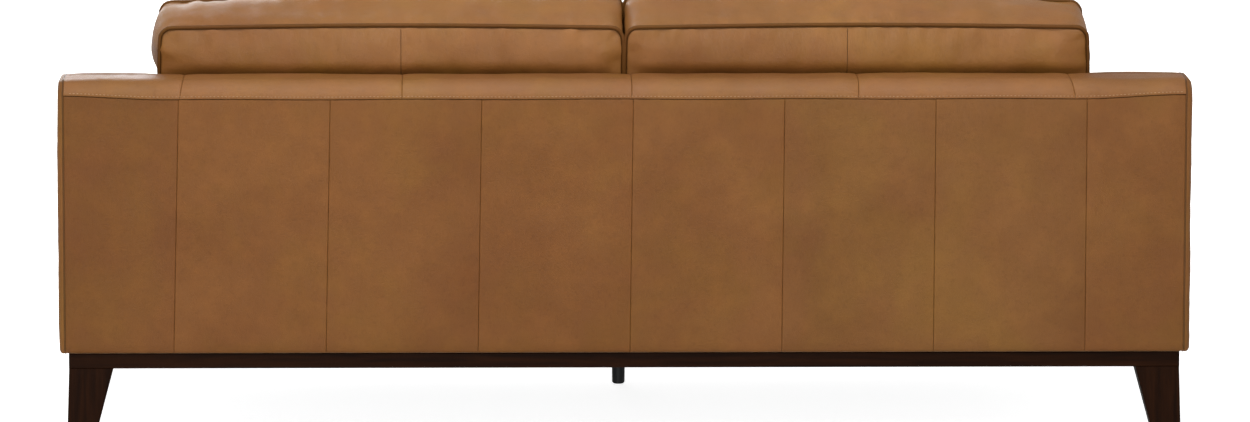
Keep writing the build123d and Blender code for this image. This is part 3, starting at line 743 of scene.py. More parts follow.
def back_section(inner):
    """The path over the top of the back in Y and Z, from the rear seam to the inside, and its length."""
    inner_foot = (inside_back_y(INSIDE_BACK_FOOT), INSIDE_BACK_FOOT)
    tail = [(CREST, TOP), inner_foot] if inner else [(CREST + CREST_ROUND, TOP - 0.0005)]
    corners = [(REAR, SEAM_HEIGHT + 0.0004), (REAR, TOP), *tail]
    return arc_path(corners, [0, BAND_ROUND, CREST_ROUND if inner else 0, 0])


def band_surface(x0, x1, slant0, slant1, inner):
    """The band between two cross seams, which may slant towards their lower ends."""
    path, length = back_section(inner)

    def surface(u, v):
        f = u / (x1 - x0)
        low = np.clip(1 - v / 0.045, 0, 1)
        x = (x0 + slant0 * low) + ((x1 + slant1 * low) - (x0 + slant0 * low)) * f
        yz = path(v)
        lift = (rear_seam_height(x) - SEAM_HEIGHT) * np.clip(1 - v / 0.02, 0, 1)
        crown = 0.002 * np.sin(math.pi * np.clip((yz[:, 0] - CREST) / (REAR - CREST), 0, 1))
        sink = 0.002 * smooth_step(v, 0.0, 0.03)
        return np.stack([x, yz[:, 0], yz[:, 1] + lift + crown - sink], 1)

    return surface, length


class SOFA_OT_back_band(Operator):
    """Lays the pieced leather band over the top of the back, with its top stitching"""

    bl_idname = "sofa.back_band"
    bl_label = "Back band"

    def execute(self, context):
        corner = OUTSIDE - context.scene.sofa_sizes.corner_strip
        edges = [corner, *BAND_SEAMS, -corner]
        slants = [0, 0.006, 0, 0, 0, -0.008, 0]
        hide = light_hide()
        pieces, built = [], 0
        for i in range(len(edges) - 1):
            x1, x0 = edges[i], edges[i + 1]
            s1, s0 = slants[i], slants[i + 1]
            parts = [(x0, x1, s0, s1, True, "")]
            if x1 > INSIDE:
                parts = [(x0, INSIDE, s0, 0, True, "r"), (INSIDE, x1, 0, s1, False, "l")]
            elif x0 < -INSIDE:
                parts = [(-INSIDE, x1, 0, s1, True, "l"), (x0, -INSIDE, s0, 0, False, "r")]
            for a, b, sa, sb, inner, open_edges in parts:
                surface, length = band_surface(a, b, sa, sb, inner)
                panel = LeatherPanel(
                    flip(surface, b - a), b - a, length, 31 + built,
                    open_edges=open_edges.translate(str.maketrans("lr", "rl")), puff=0.0024,
                    reach=0.010, step=0.008, gather=0.0010,
                    roll=0.0015, end_roll=0.0030,
                )
                obj = panel.build(f"back_band_{built + 1}", hide)
                place(obj, BODY, "leather", *(("back_top_band", "back_padding") if built == 0 else ()))
                pieces.append(obj)
                built += 1
        self.stitch(context, corner, pieces)
        # A thin dark tube in the groove under the band's rear seam: painted shade under the fold.
        x = np.linspace(-corner, corner, 420)
        verts, faces = tube(np.stack([x, np.full_like(x, REAR - 0.0034), rear_seam_height(x)], 1), 0.0018)
        place(mesh_object("back_band_painted_shade", verts, faces, painted_shade_hide()), BODY, "piping_leather")
        return {"FINISHED"}

    def stitch(self, context, corner, pieces):
        """One row of top stitching just above the rear seam, laid on the leather of the band's pieces."""
        sizes = context.scene.sofa_sizes
        surfaces = [surface_tree(obj.data) for obj in pieces]
        row = []
        for x in np.linspace(-corner + 0.006, corner - 0.006, 900):
            start = Vector((x, REAR + 0.03, rear_seam_height(x) + 0.0055))
            hits = [tree.ray_cast(start, Vector((0, -1, 0)), 0.05)[0] for tree in surfaces]
            outermost = max((hit.y for hit in hits if hit), default=None)
            if outermost is not None:
                row.append((start.x, outermost + 0.0002, start.z))
        points = np.array(row)
        normals = np.tile([0.0, 1.0, 0.0], (len(points), 1))
        verts, faces = stitch_row(points, normals, sizes.stitch_length, sizes.stitch_gap, 0.00062)
        thread = cellular("thread", tuple(context.scene.sofa_colours.thread), (0.23, 0.125, 0.055),
                          500.0, 0.6, 0.0001)
        place(mesh_object("back_band_stitching", verts, faces, thread), BODY, "leather")


# ---- arms ----------------------------------------------------------------------------------------

ARM_FRONT_ROUND = 0.025
ARM_CREST_ROUND = 0.030


def arm_outline():
    """An arm's outline from the side in Y and Z, from its front foot over the top to its rear foot."""
    low = bpy.context.scene.sofa_sizes.arm_front_height
    corners = [(FRONT, BOTTOM), (FRONT, low), (CREST, TOP), (REAR, TOP), (REAR, BOTTOM)]
    path, length = arc_path(corners, [0, ARM_FRONT_ROUND, ARM_CREST_ROUND, BAND_ROUND, 0])
    samples = np.append(np.arange(0, length, 0.0005), length)
    line = path(samples)
    top_ends = [samples[np.argmin(np.linalg.norm(line - corner, axis=1))]
                for corner in ((FRONT, low), (REAR, TOP))]
    steps = np.diff(line, axis=0)
    bends = np.abs(steps[:-1, 0] * steps[1:, 1] - steps[:-1, 1] * steps[1:, 0]) > 1e-12
    return path, length, top_ends, line[np.concatenate([[True], bends, [True]])]


def depth_inside(points, ring):
    """Distance of points in a plane from a closed outline."""
    along = np.roll(ring, -1, 0) - ring
    offset = points[:, None] - ring[None]
    t = np.clip((offset * along).sum(2) / (along**2).sum(1), 0, 1)
    return np.linalg.norm(offset - t[:, :, None] * along, axis=2).min(1)


def arm_outer_surface(side):
    """The arm's outer leather, which rolls round to the band's seam along its whole outline."""
    strip = bpy.context.scene.sofa_sizes.corner_strip
    path, length, (front_top, rear_top), ring = arm_outline()
    width, height = REAR - FRONT, TOP - BOTTOM
    corners = path([0, length, front_top, rear_top])

    def surface(u, v):
        f, g = (u / width)[:, None], (v / height)[:, None]
        floor_edge = np.stack([FRONT + u, np.full_like(u, BOTTOM)], 1)
        top_edge = path(front_top + f[:, 0] * (rear_top - front_top))
        front_edge, rear_edge = path(g[:, 0] * front_top), path(length - g[:, 0] * (length - rear_top))
        yz = (1 - g) * floor_edge + g * top_edge + (1 - f) * front_edge + f * rear_edge
        blend = (1 - f) * ((1 - g) * corners[0] + g * corners[2])
        blend = blend + f * ((1 - g) * corners[1] + g * corners[3])
        yz -= blend
        short = strip - np.minimum(depth_inside(yz, ring), strip)
        x = OUTSIDE - strip + np.sqrt(strip**2 - short**2)
        y = yz[:, 0] * (1 - 0.010 / REAR * turned_under(yz[:, 1] - BOTTOM))
        return np.stack([x * side, y, yz[:, 1]], 1)

    return surface, width, height


def arm_band_path():
    """Path of the leather up the front of an arm and along its top, in Y and Z, and its length."""
    low = bpy.context.scene.sofa_sizes.arm_front_height
    corners = [(FRONT, BOTTOM + FOOT_LEDGE), (FRONT, low), (CREST, TOP), (CREST + CREST_ROUND, TOP)]
    return arc_path(corners, [0, ARM_FRONT_ROUND, ARM_CREST_ROUND, 0])


def arm_band_surface(side, x0):
    """The leather up the front of an arm and along its top, outwards from some X."""
    path, length = arm_band_path()

    def surface(u, v):
        yz = path(v)
        y = yz[:, 0] + 0.008 * turned_under(v)
        return np.stack([(x0 + u) * side, y, yz[:, 1] - 0.0015], 1)

    return surface, length


def arm_inner_surface(side):
    """The inside of an arm, from the deck up to the band and back to the inside back."""
    depth = CREST - FRONT

    def surface(u, v):
        f = u / depth
        height = v / (TOP - DECK)
        front_y = FRONT + 0.001
        top = arm_top(front_y + (CREST - front_y) * f) - 0.002
        near = np.clip(1 - u / 0.026, 0, 0.9999)
        top = top - 0.026 * (1 - np.sqrt(1 - near**2)) * 0.92
        z = DECK - 0.02 + height * (top - DECK + 0.02)
        y = front_y + (inside_back_y(z) - front_y) * f
        x = np.full_like(y, INSIDE + 0.0015)
        return np.stack([x * side, y, z], 1)

    return surface, depth, TOP - DECK


class SOFA_OT_arms(Operator):
    """Covers both arms: outer and inner leather, the band over the top and down the front, and the welts"""

    bl_idname = "sofa.arms"
    bl_label = "Arms"

    def execute(self, context):
        sizes = context.scene.sofa_sizes
        for name, side in SIDES.items():
            seed = 70 if side > 0 else 90
            surface, length, height = arm_outer_surface(side)
            outer = LeatherPanel(surface if side > 0 else flip(surface, length), length, height, seed,
                                 puff=0.0026, gather=0.0009)
            place(outer.build(f"arm_outer_{name}", leather("hide_arm", 0.99, 0.9, 0.52)), BODY, "leather",
                  f"arm_outer_cover_{name}", f"arm_padding_{name}")
            x0, x1 = INSIDE, OUTSIDE - sizes.corner_strip
            surface, length = arm_band_surface(side, x0)
            band = LeatherPanel(surface if side > 0 else flip(surface, x1 - x0), x1 - x0, length,
                                seed + 1, puff=0.004, reach=0.03,
                                step=0.010, gather=0.0009)
            place(band.build(f"arm_top_{name}", leather("hide_arm_top", 1.06, 0.8, 0.5)), BODY,
                  "leather", f"arm_band_{name}")
            surface, depth, height = arm_inner_surface(side)
            inner = LeatherPanel(flip(surface, depth) if side > 0 else surface, depth, height, seed + 2,
                                 open_edges="b", puff=0.003)
            place(inner.build(f"arm_inner_{name}", leather("hide_arm", 0.99, 0.9, 0.52)), BODY,
                  "leather", f"arm_inner_cover_{name}")
            self.welts(name, side, sizes)
        return {"FINISHED"}

    def welts(self, name, side, sizes):
        """A fine welt up the rear corner and along both edges of the arm's band."""
        corner = OUTSIDE - sizes.corner_strip
        z = np.linspace(BOTTOM + 0.008, TOP - BAND_ROUND, 60)
        rear = np.stack([np.full_like(z, corner * side), np.full_like(z, REAR - 0.0012), z], 1)
        path, length = back_section(False)
        s = np.linspace(TOP - BAND_ROUND - SEAM_HEIGHT, length, 40)
        over = path(s)
        top = np.stack([np.full_like(s, corner * side), over[:, 0], over[:, 1] - 0.0012], 1)
        lines = {"rear": resample(np.vstack([rear, top[1:]]), 0.006)}
        path, length = arm_band_path()
        s = np.linspace(0.012, length - 0.004, 260)
        for edge, x in (("outer", corner), ("inner", INSIDE + 0.0005)):
            yz = path(s)
            lines[edge] = np.stack([np.full_like(s, x * side), yz[:, 0] + 0.0006, yz[:, 1] - 0.0022], 1)
        for edge, line in lines.items():
            verts, faces = tube(line, sizes.welt_radius)
            place(mesh_object(f"arm_welt_{edge}_{name}", verts, faces, welt_hide()), BODY,
                  "piping_leather")


# ---- inside back, front border and deck ----------------------------------------------------------


class SOFA_OT_inside(Operator):
    """Covers the inside back, the front border and the deck under the seat cushions"""

    bl_idname = "sofa.inside"
    bl_label = "Inside back, border and deck"

    def execute(self, context):
        hide = leather("hide_inside", 0.97, 0.9, 0.52)
        bottom, top = DECK - 0.005, INSIDE_BACK_FOOT
        edges = [-INSIDE, -INSIDE / 3, INSIDE / 3, INSIDE]
        for i, (x0, x1) in enumerate(zip(edges, edges[1:])):

            def back_face(u, v, x0=x0):
                z = bottom + v
                return np.stack([x0 + u, inside_back_y(z) + 0.001, z], 1)

            panel = LeatherPanel(back_face, x1 - x0, top - bottom, 120 + i, open_edges="b", puff=0.004,
                                 reach=0.04)
            place(panel.build(f"inside_back_panel_{i + 1}", hide), BODY, "leather",
                  *(("inside_back_cover",) if i == 0 else ()))

        path, length = arc_path([(FRONT, BOTTOM + FOOT_LEDGE), (FRONT, DECK),
                                 (FRONT + DECK_START, DECK)], [0, 0.014, 0])
        for i, (x0, x1) in enumerate(((-INSIDE, 0.0), (0.0, INSIDE))):

            def border(u, v, x0=x0):
                yz = path(v)
                y = yz[:, 0] + 0.0015 + 0.008 * turned_under(v)
                return np.stack([x0 + u, y, yz[:, 1] - 0.001], 1)

            panel = LeatherPanel(border, x1 - x0, length, 130 + i, puff=0.0022, step=0.010)
            place(panel.build(f"front_border_{i + 1}", leather("hide_border", 1.0, 0.9, 0.52)), BODY,
                  "leather",
                  *(("front_border_cover", "front_border_padding") if i == 0 else ()))

        def deck(u, v):
            return np.stack([u - INSIDE + 0.001, FRONT + DECK_START + v,
                             np.full_like(u, DECK - 0.0012)], 1)

        depth = inside_back_y(DECK) - 0.002 - FRONT - DECK_START
        panel = LeatherPanel(deck, 2 * INSIDE - 0.002, depth, 140, puff=0.0, unrest=0.0004,
                             gather=0.0005, step=0.02)
        cloth_mat = cloth("deck_cloth", (0.20, 0.115, 0.06), (0.13, 0.07, 0.035), 1100.0)
        place(panel.build("deck_cover", cloth_mat), BODY, "lining_cloth", "deck_pad")
        return {"FINISHED"}


# ---- cushions ------------------------------------------------------------------------------------


class CushionForm:
    """A boxed cushion in its own axes: two faces, the boxing between them, and their piped rims."""

    def __init__(self, width, depth, height, across, bow, corner):
        self.width, self.depth, self.height, self.bow, self.corner = width, depth, height, bow, corner
        self.nx, self.ny = int(round(width / across)), int(round(depth / across))
        self.nz = max(6, int(round(height / across)))

    def rim_sides(self):
        """Points of the rim's four sides: each from one rounded corner's middle to the next."""
        w, d, r = self.width / 2, self.depth / 2, self.corner
        turns = np.linspace(0, math.pi / 4, 12)
        sides = []
        for half_long, half_short, count in ((w, d, self.nx), (d, w, self.ny)):
            run = 2 * (half_long - r)
            arc = [(-half_long + r - r * math.sin(math.pi / 4 - t),
                    -half_short + r - r * math.cos(math.pi / 4 - t)) for t in turns]
            straight = [(-half_long + r + run * t, -half_short) for t in np.linspace(0, 1, 40)[1:-1]]
            line = arc + straight + [(-x, y) for x, y in arc[::-1]]
            line = np.array(line)
            pull = self.bow * np.cos(np.clip(line[:, 0] / half_long, -1, 1) * math.pi / 2) ** 1.2
            line[:, 1] += pull
            length = np.concatenate([[0], np.cumsum(np.linalg.norm(np.diff(line, axis=0), axis=1))])
            s = np.linspace(0, length[-1], count + 1)
            sides.append(np.stack([np.interp(s, length, line[:, k]) for k in (0, 1)], 1))
        low = sides[0]
        high = low * [1, -1]
        left = sides[1][:, ::-1]
        right = left * [-1, 1]
        return low, high, left, right

    def face(self):
        """A grid over one face, fitted between the rim's four sides."""
        low, high, left, right = self.rim_sides()
        u = np.linspace(0, 1, self.nx + 1)[None, :, None]
        v = np.linspace(0, 1, self.ny + 1)[:, None, None]
        ruled = (1 - v) * low[None] + v * high[None] + (1 - u) * left[:, None] + u * right[:, None]
        corners = (1 - u) * (1 - v) * low[0] + u * (1 - v) * low[-1]
        corners = corners + (1 - u) * v * high[0] + u * v * high[-1]
        return ruled - corners

    def rim_index(self):
        """The rim's points in order round the face, as indices into its grid."""
        c, r = self.nx + 1, self.ny + 1
        return (list(range(c)) + [j * c + c - 1 for j in range(1, r)]
                + [(r - 1) * c + i for i in range(c - 2, -1, -1)] + [j * c for j in range(r - 2, 0, -1)])

    def build(self):
        """All points and faces of the closed form, and the indices of both rims."""
        flat = self.face().reshape(-1, 2)
        n, h = len(flat), self.height / 2
        top = np.column_stack([flat, np.full(n, h)])
        bottom = np.column_stack([flat, np.full(n, -h)])
        c, r = self.nx + 1, self.ny + 1
        upper = grid_faces(c, r)
        lower = [tuple(n + i for i in f[::-1]) for f in upper]
        rim = self.rim_index()
        m = len(rim)
        rows = []
        for j in range(1, self.nz):
            t = j / self.nz
            rows.append(top[rim] * (1 - t) + bottom[rim] * t)
        points = np.vstack([top, bottom, *rows])
        first = 2 * n
        levels = [rim] + [[first + j * m + k for k in range(m)]
                          for j in range(self.nz - 1)] + [[n + k for k in rim]]
        walls = []
        for above, below in zip(levels, levels[1:]):
            for k in range(m):
                l = (k + 1) % m
                walls.append((above[l], above[k], below[k], below[l]))
        self.face_points = n
        return points, upper + lower + walls, rim, [n + k for k in rim]


def swell(form, steps, cap_face, cap_boxing, slack, pressure=4.0):
    """Inflates a cushion's form as cloth held at its rims, and limits how far each point moves."""
    points, faces, rim_top, rim_bottom = form.build()
    obj = mesh_object("swelling", points, faces, welt_hide())
    group = obj.vertex_groups.new(name="piped_rim")
    group.add([int(i) for i in rim_top + rim_bottom], 1.0, "REPLACE")
    rest = points.copy()
    cloth_modifier = obj.modifiers.new("swell", "CLOTH")
    s = cloth_modifier.settings
    s.quality = 6
    s.mass = 0.25
    s.tension_stiffness = s.compression_stiffness = 18
    s.shear_stiffness = 8
    s.bending_stiffness = 1.2
    s.use_pressure = True
    s.uniform_pressure_force = pressure
    s.vertex_group_mass = "piped_rim"
    s.pin_stiffness = 1.0
    s.shrink_min = -slack
    s.effector_weights.gravity = 0
    cloth_modifier.collision_settings.use_collision = False
    cloth_modifier.collision_settings.use_self_collision = False
    scene = bpy.context.scene
    cloth_modifier.point_cache.frame_start, cloth_modifier.point_cache.frame_end = 1, steps
    for f in range(1, steps + 1):
        scene.frame_set(f)
    swollen = obj.evaluated_get(bpy.context.evaluated_depsgraph_get()).to_mesh()
    moved = np.zeros(len(swollen.vertices) * 3, np.float32)
    swollen.vertices.foreach_get("co", moved)
    moved = moved.reshape(-1, 3).astype(float)
    scene.frame_set(1)
    bpy.data.objects.remove(obj)
    shift = even_out(moved - rest, faces, rim_top + rim_bottom)
    size = np.linalg.norm(shift, axis=1)
    cap = np.full(len(points), cap_boxing)
    cap[: 2 * form.face_points] = cap_face
    factor = np.where(size > 1e-9, cap * np.tanh(size / cap) / np.maximum(size, 1e-9), 1)
    return rest + shift * factor[:, None], faces, rim_top, rim_bottom


def even_out(shift, faces, rim, rounds=2):
    """Takes down the short ripples that cloth leaves, keeps the long ones, and leaves the rims alone."""
    pairs = np.array([(a, b) for f in faces for a, b in zip(f, tuple(f[1:]) + tuple(f[:1]))])
    count = np.bincount(pairs.ravel(), minlength=len(shift))
    for _ in range(rounds):
        total = np.zeros_like(shift)
        np.add.at(total, pairs[:, 0], shift[pairs[:, 1]])
        np.add.at(total, pairs[:, 1], shift[pairs[:, 0]])
        shift = (shift + total / np.maximum(count, 1)[:, None]) / 2
        shift[rim] = 0
    return shift


def refine(name, points, faces, material):
    """The cushion's mesh with one level of smooth subdivision applied."""
    obj = mesh_object(name, points, faces, material)
    obj.modifiers.new("smooth", "SUBSURF").levels = 1
    mesh = bpy.data.meshes.new_from_object(obj.evaluated_get(bpy.context.evaluated_depsgraph_get()))
    obj.modifiers.clear()
    obj.data = mesh
    mesh.name = name
    return obj


def surface_tree(mesh):
    """A mesh made ready for finding where a line meets it."""
    return BVHTree.FromPolygons([v.co for v in mesh.vertices], [p.vertices[:] for p in mesh.polygons])


def mesh_points(mesh, key="co"):
    """The places or the normals of a mesh's points."""
    out = np.zeros(len(mesh.vertices) * 3, np.float32)
    mesh.vertices.foreach_get(key, out)
    return out.reshape(-1, 3).astype(float)


def gather_at_rims(obj, rims, seed, amount):
    """Gathers and pulls the leather slightly where it is sewn to the piping."""
    lines, runs = [], []
    for rim in rims:
        closed = np.vstack([rim, rim[:1]])
        lines.append(rim)
        lengths = np.linalg.norm(np.diff(closed, axis=0), axis=1)
        runs.append(np.concatenate([[0], np.cumsum(lengths)])[:-1])
    stacked, along = np.vstack(lines), np.concatenate(runs)
    tree = KDTree(len(stacked))
    for i, p in enumerate(stacked):
        tree.insert(p, i)
    tree.balance()
    points, normals = mesh_points(obj.data), mesh_points(obj.data, "normal")
    near, where = np.zeros(len(points)), np.zeros(len(points))
    for i, p in enumerate(points):
        _, index, near[i] = tree.find(p)
        where[i] = along[index]
    strength = np.exp(-near / 0.03) * (1 - np.exp(-near / 0.006))
    lift = amount * strength * puckers(where, 0.06, seed)
    lift += 0.0011 * (1 - np.exp(-near / 0.05)) * ripple(points, 0.19, seed + 3)
    lift += 0.0005 * (1 - np.exp(-near / 0.02)) * ripple(points, 0.055, seed + 4)
    points += normals * lift[:, None]
    obj.data.vertices.foreach_set("co", points.ravel())
    obj.data.update()


def finish_cushion(kind, side_name, points, faces, rims, seed, gather, radius):
    """The refined cushion, its two piped rims and the painted shade beside them, on their body."""
    body = f"{kind}_cushion_{side_name}"
    obj = refine(f"{body}_hide", points, faces, lit_cushion_hide())
    gather_at_rims(obj, [resample(points[rim], 0.004, True) for rim in rims], seed, gather)
    obj.data.polygons.foreach_set("use_smooth", [True] * len(obj.data.polygons))
    place(obj, body, "leather", f"{body}_cover", f"{body}_core")
    lines = [resample(points[rim], 0.007, True) for rim in rims]
    piping = tubes(f"{body}_piping_hide", lines, radius,
                   leather("hide_piping", 0.62, 0.4, 0.55, 0.2, 0.10, 0.06))
    place(piping, body, "piping_leather", f"{body}_piping")
    # Thin dark tubes just inside each piped rim: painted shade in the groove beside the piping.
    creases = [piping_shade_line(lines[i], lines[1 - i], radius) for i in (0, 1)]
    place(tubes(f"{body}_crease", creases, radius * 0.36, painted_shade_hide()), body, "piping_leather")
    return obj


def tubes(name, lines, radius, material):
    """One object of closed round tubes along several lines."""
    verts, faces = [], []
    for line in lines:
        more, more_faces = tube(line, radius, closed=True, sides=10)
        faces += [tuple(len(verts) + i for i in f) for f in more_faces]
        verts += list(more)
    return mesh_object(name, verts, faces, material)


def piping_shade_line(line, other, radius):
    """The line just inside a cushion's piping, where its face meets it, for a thin dark tube of painted
    shade.
    """
    outward = line.mean(0) - other.mean(0)
    outward /= np.linalg.norm(outward)
    along = np.roll(line, -1, 0) - np.roll(line, 1, 0)
    inward = np.cross(along, outward)
    inward /= np.linalg.norm(inward, axis=1)[:, None]
    inward *= np.sign(((line.mean(0) - line) * inward).sum(1))[:, None]
    return line + inward * radius * 1.0 + outward * radius * 0.55


class SOFA_OT_seat_cushions(Operator):
    """Swells, fits and pipes the two seat cushions"""

    bl_idname = "sofa.seat_cushions"
    bl_label = "Seat cushions"

    def execute(self, context):
        sizes = context.scene.sofa_sizes
        low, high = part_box("seat_cushion_left_cover")
        size, middle = high - low, (high + low) / 2
        inset = 0.006
        form = CushionForm(size.x - 2 * inset, size.y - 2 * inset, size.z - 0.006, 0.0115, 0.005, 0.030)
        local, faces, rim_top, rim_bottom = swell(form, sizes.swell_steps, sizes.seat_crown, 0.011, 0.012)
        for name, side in SIDES.items():
            points = local * [side, 1, 1] + [middle.x * side, middle.y, middle.z]
            own = faces if side > 0 else [f[::-1] for f in faces]
            points = self.settle(points, side, low, high)
            finish_cushion("seat", name, points, own, (rim_top, rim_bottom), 200 + side, 0.0016,
                           sizes.piping_radius)
        return {"FINISHED"}

    def settle(self, points, side, low, high):
        """Flat on the deck, and held in by the arm, the other cushion and the back cushion above."""
        p = points.copy()
        p[:, 2] = np.maximum(p[:, 2], DECK + 0.0012)
        inward = np.abs(p[:, 0])
        inward = np.clip(inward, 0.0012, INSIDE - 0.0016)
        p[:, 0] = np.copysign(inward, side)
        p[:, 1] = np.maximum(p[:, 1], FRONT - 0.004)
        wall = inside_back_y(p[:, 2]) - 0.004
        p[:, 1] = np.minimum(p[:, 1], wall)
        rest_z = high.z - 0.001
        free = smooth_step(-p[:, 1], -0.15, -0.02)
        above = np.maximum(p[:, 2] - rest_z, 0)
        p[:, 2] = np.where(p[:, 2] > rest_z, rest_z + above * free, p[:, 2])
        return p


class SOFA_OT_back_cushions(Operator):
    """Swells, leans and pipes the two back cushions, with the seam up each rear panel"""

    bl_idname = "sofa.back_cushions"
    bl_label = "Back cushions"

    lean = math.radians(13)
    thickness = 0.154
    tall = 0.344
    front_rise = 0.014
    side_swell = {"left": 0.008, "right": -0.003}

    def execute(self, context):
        sizes = context.scene.sofa_sizes
        low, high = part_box("back_cushion_left_piping")
        middle, width = (high + low) / 2, high.x - low.x
        inset = 0.001
        form = CushionForm(width - 2 * inset, self.tall - 0.008, self.thickness - 0.006, 0.0105, -0.005,
                           0.022)
        local, faces, rim_top, rim_bottom = swell(form, sizes.swell_steps, sizes.back_crown, 0.018,
                                                  0.02, 7.0)
        c, s = math.cos(self.lean), math.sin(self.lean)
        for name, side in SIDES.items():
            x, up, out = local.T
            front = smooth_step(out, -0.03, 0.06)
            over_arm = smooth_step(up, -0.06, 0.04) * smooth_step(x, 0.36, 0.43)
            round_side = 1 - (np.clip(out, -0.07, 0.07) / 0.07) ** 2
            x = x + self.side_swell[name] * over_arm * (0.55 * front + 0.7 * round_side)
            rise = self.front_rise * front * smooth_step(up, 0.03, 0.15)
            up = up + rise * (1 - smooth_step(x, 0.05, 0.41))
            # The cushion's own Z runs through its thickness, to the front, and its own Y up the lean.
            points = np.stack([
                (x + middle.x) * side,
                middle.y + up * s - out * c,
                middle.z + up * c + out * s,
            ], 1)
            points = self.settle(points, side, middle, low)
            own = [f[::-1] for f in faces] if side < 0 else faces
            obj = finish_cushion("back", name, points, own, (rim_top, rim_bottom), 300 + side, 0.0030,
                                 sizes.piping_radius)
            self.rear_seam(obj, name, side, middle)
        return {"FINISHED"}

    def settle(self, points, side, middle, low):
        """The lower front droops on to the seat; the crest of the back and the arm hold the rest in."""
        p = points.copy()
        up_y, out_y = math.sin(self.lean), math.cos(self.lean)
        rear_foot = middle.y - (self.tall / 2) * up_y + self.thickness / 2 * out_y
        rise = np.clip((rear_foot - p[:, 1]) * math.tan(self.lean), 0, 0.05)
        near_seat = 1 - smooth_step(p[:, 2], low.z + 0.02, low.z + 0.17)
        p[:, 2] -= rise * near_seat * 0.95
        p[:, 2] = np.maximum(p[:, 2], low.z + 0.0008)
        over_arm = smooth_step(p[:, 2] - arm_top(p[:, 1]), -0.004, 0.044)
        limit = INSIDE - 0.0018 + 0.018 * over_arm
        p[:, 0] = np.copysign(np.clip(np.abs(p[:, 0]), 0.0012, limit), side)
        under_crest = 1 - smooth_step(p[:, 2], TOP - 0.01, TOP + 0.015)
        wall = inside_back_y(np.minimum(p[:, 2], TOP)) - 0.005
        p[:, 1] = np.where(p[:, 1] > wall, wall + (p[:, 1] - wall) * (1 - under_crest), p[:, 1])
        return p

    def rear_seam(self, obj, name, side, middle):
        """A fine seam up the rear panel, a little nearer the middle of the sofa."""
        seam_x = (middle.x - 0.018) * side
        on_surface = []
        tree = surface_tree(obj.data)
        toward = Vector((0, -math.cos(self.lean), math.sin(self.lean)))
        for t in np.linspace(-self.tall / 2 + 0.012, self.tall / 2 - 0.0065, 70):
            start = Vector((seam_x, middle.y + t * math.sin(self.lean),
                            middle.z + t * math.cos(self.lean))) - toward * 0.3
            hit, normal, _, _ = tree.ray_cast(start, toward)
            if hit:
                on_surface.append(hit - normal * 0.0004)
        line = resample(np.array([tuple(p) for p in on_surface]), 0.006)
        verts, faces = tube(line, 0.0009)
        place(mesh_object(f"back_cushion_{name}_seam", verts, faces, welt_hide()),
              f"back_cushion_{name}", "piping_leather")


# ---- timber, fittings and hidden parts -----------------------------------------------------------


class SOFA_OT_timber(Operator):
    """Gives the plinth, legs, inner frame, springs and fittings their finishes"""

    bl_idname = "sofa.timber"
    bl_label = "Timber and fittings"

    def execute(self, context):
        stain = tuple(context.scene.sofa_colours.plinth)
        deep = tuple(c * 0.45 for c in stain)
        along_x, along_y, along_z = (1.0, 16.0, 16.0), (16.0, 1.0, 16.0), (16.0, 16.0, 1.0)
        pine, late_pine = (0.58, 0.41, 0.24), (0.40, 0.25, 0.13)
        finishes = {
            "plinth_x": timber("plinth_lengthways", stain, deep, along_x, 0.42),
            "plinth_y": timber("plinth_crossways", stain, deep, along_y, 0.42),
            "leg": timber("leg_upright", stain, deep, along_z, 0.42),
            "pine_x": timber("pine_lengthways", pine, late_pine, along_x, 0.7),
            "pine_y": timber("pine_crossways", pine, late_pine, along_y, 0.7),
            "pine_z": timber("pine_upright", pine, late_pine, along_z, 0.7),
            "board": timber("hardboard", (0.24, 0.15, 0.09), (0.19, 0.11, 0.06), (30.0, 30.0, 30.0),
                            0.6, figure=0.6),
            "plastic": cellular("black_moulding", (0.014, 0.014, 0.015), (0.009, 0.009, 0.010), 420.0,
                                0.5, 0.0002),
            "steel": steel(),
            "foam": cellular("foam", (0.76, 0.70, 0.50), (0.62, 0.55, 0.37), 700.0, 0.95, 0.0008),
            "webbing": cloth("webbing", (0.10, 0.09, 0.085), (0.05, 0.045, 0.04), 700.0),
            "lining": cloth("lining", (0.028, 0.028, 0.030), (0.012, 0.012, 0.013), 1500.0),
        }
        for name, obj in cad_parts.items():
            obj.data.materials.clear()
            obj.data.materials.append(finishes[self.finish_of(name)])
            if name.startswith(("leg_front", "leg_rear", "plinth")):
                soft = obj.modifiers.new("eased_edges", "BEVEL")
                soft.width, soft.segments, soft.limit_method = 0.0011, 2, "ANGLE"
                soft.angle_limit = math.radians(40)
                soft.harden_normals = True
        return {"FINISHED"}

    def finish_of(self, name):
        """The finish of a node, by its name."""
        rules = (
            ("plinth_screws", "steel"), ("plinth_side", "plinth_y"), ("plinth_cross", "plinth_y"),
            ("plinth", "plinth_x"),
            ("leg_bolts", "steel"), ("leg_glides", "plastic"), ("leg", "leg"),
            ("centre_leg_bolt", "steel"), ("centre_leg", "plastic"),
            ("seat_springs", "steel"), ("spring_clips", "steel"), ("dust_cover", "lining"),
            ("back_webbing", "webbing"),
            ("back_board", "board"), ("arm_outer_boards", "board"), ("arm_inner_boards", "board"),
            ("arm_front_posts", "pine_z"), ("arm_rear_posts", "pine_z"), ("back_ribs", "pine_z"),
            ("arm_bottom_rails", "pine_y"), ("arm_top_rails", "pine_y"), ("seat_side_rails", "pine_y"),
            ("corner_blocks", "pine_z"),
            ("seat_front_rail", "pine_x"), ("seat_rear_rail", "pine_x"), ("back_top_rail", "pine_x"),
            ("back_lower_rail", "pine_x"),
        )
        return next((finish for start, finish in rules if name.startswith(start)), "foam")


# ---- studio --------------------------------------------------------------------------------------


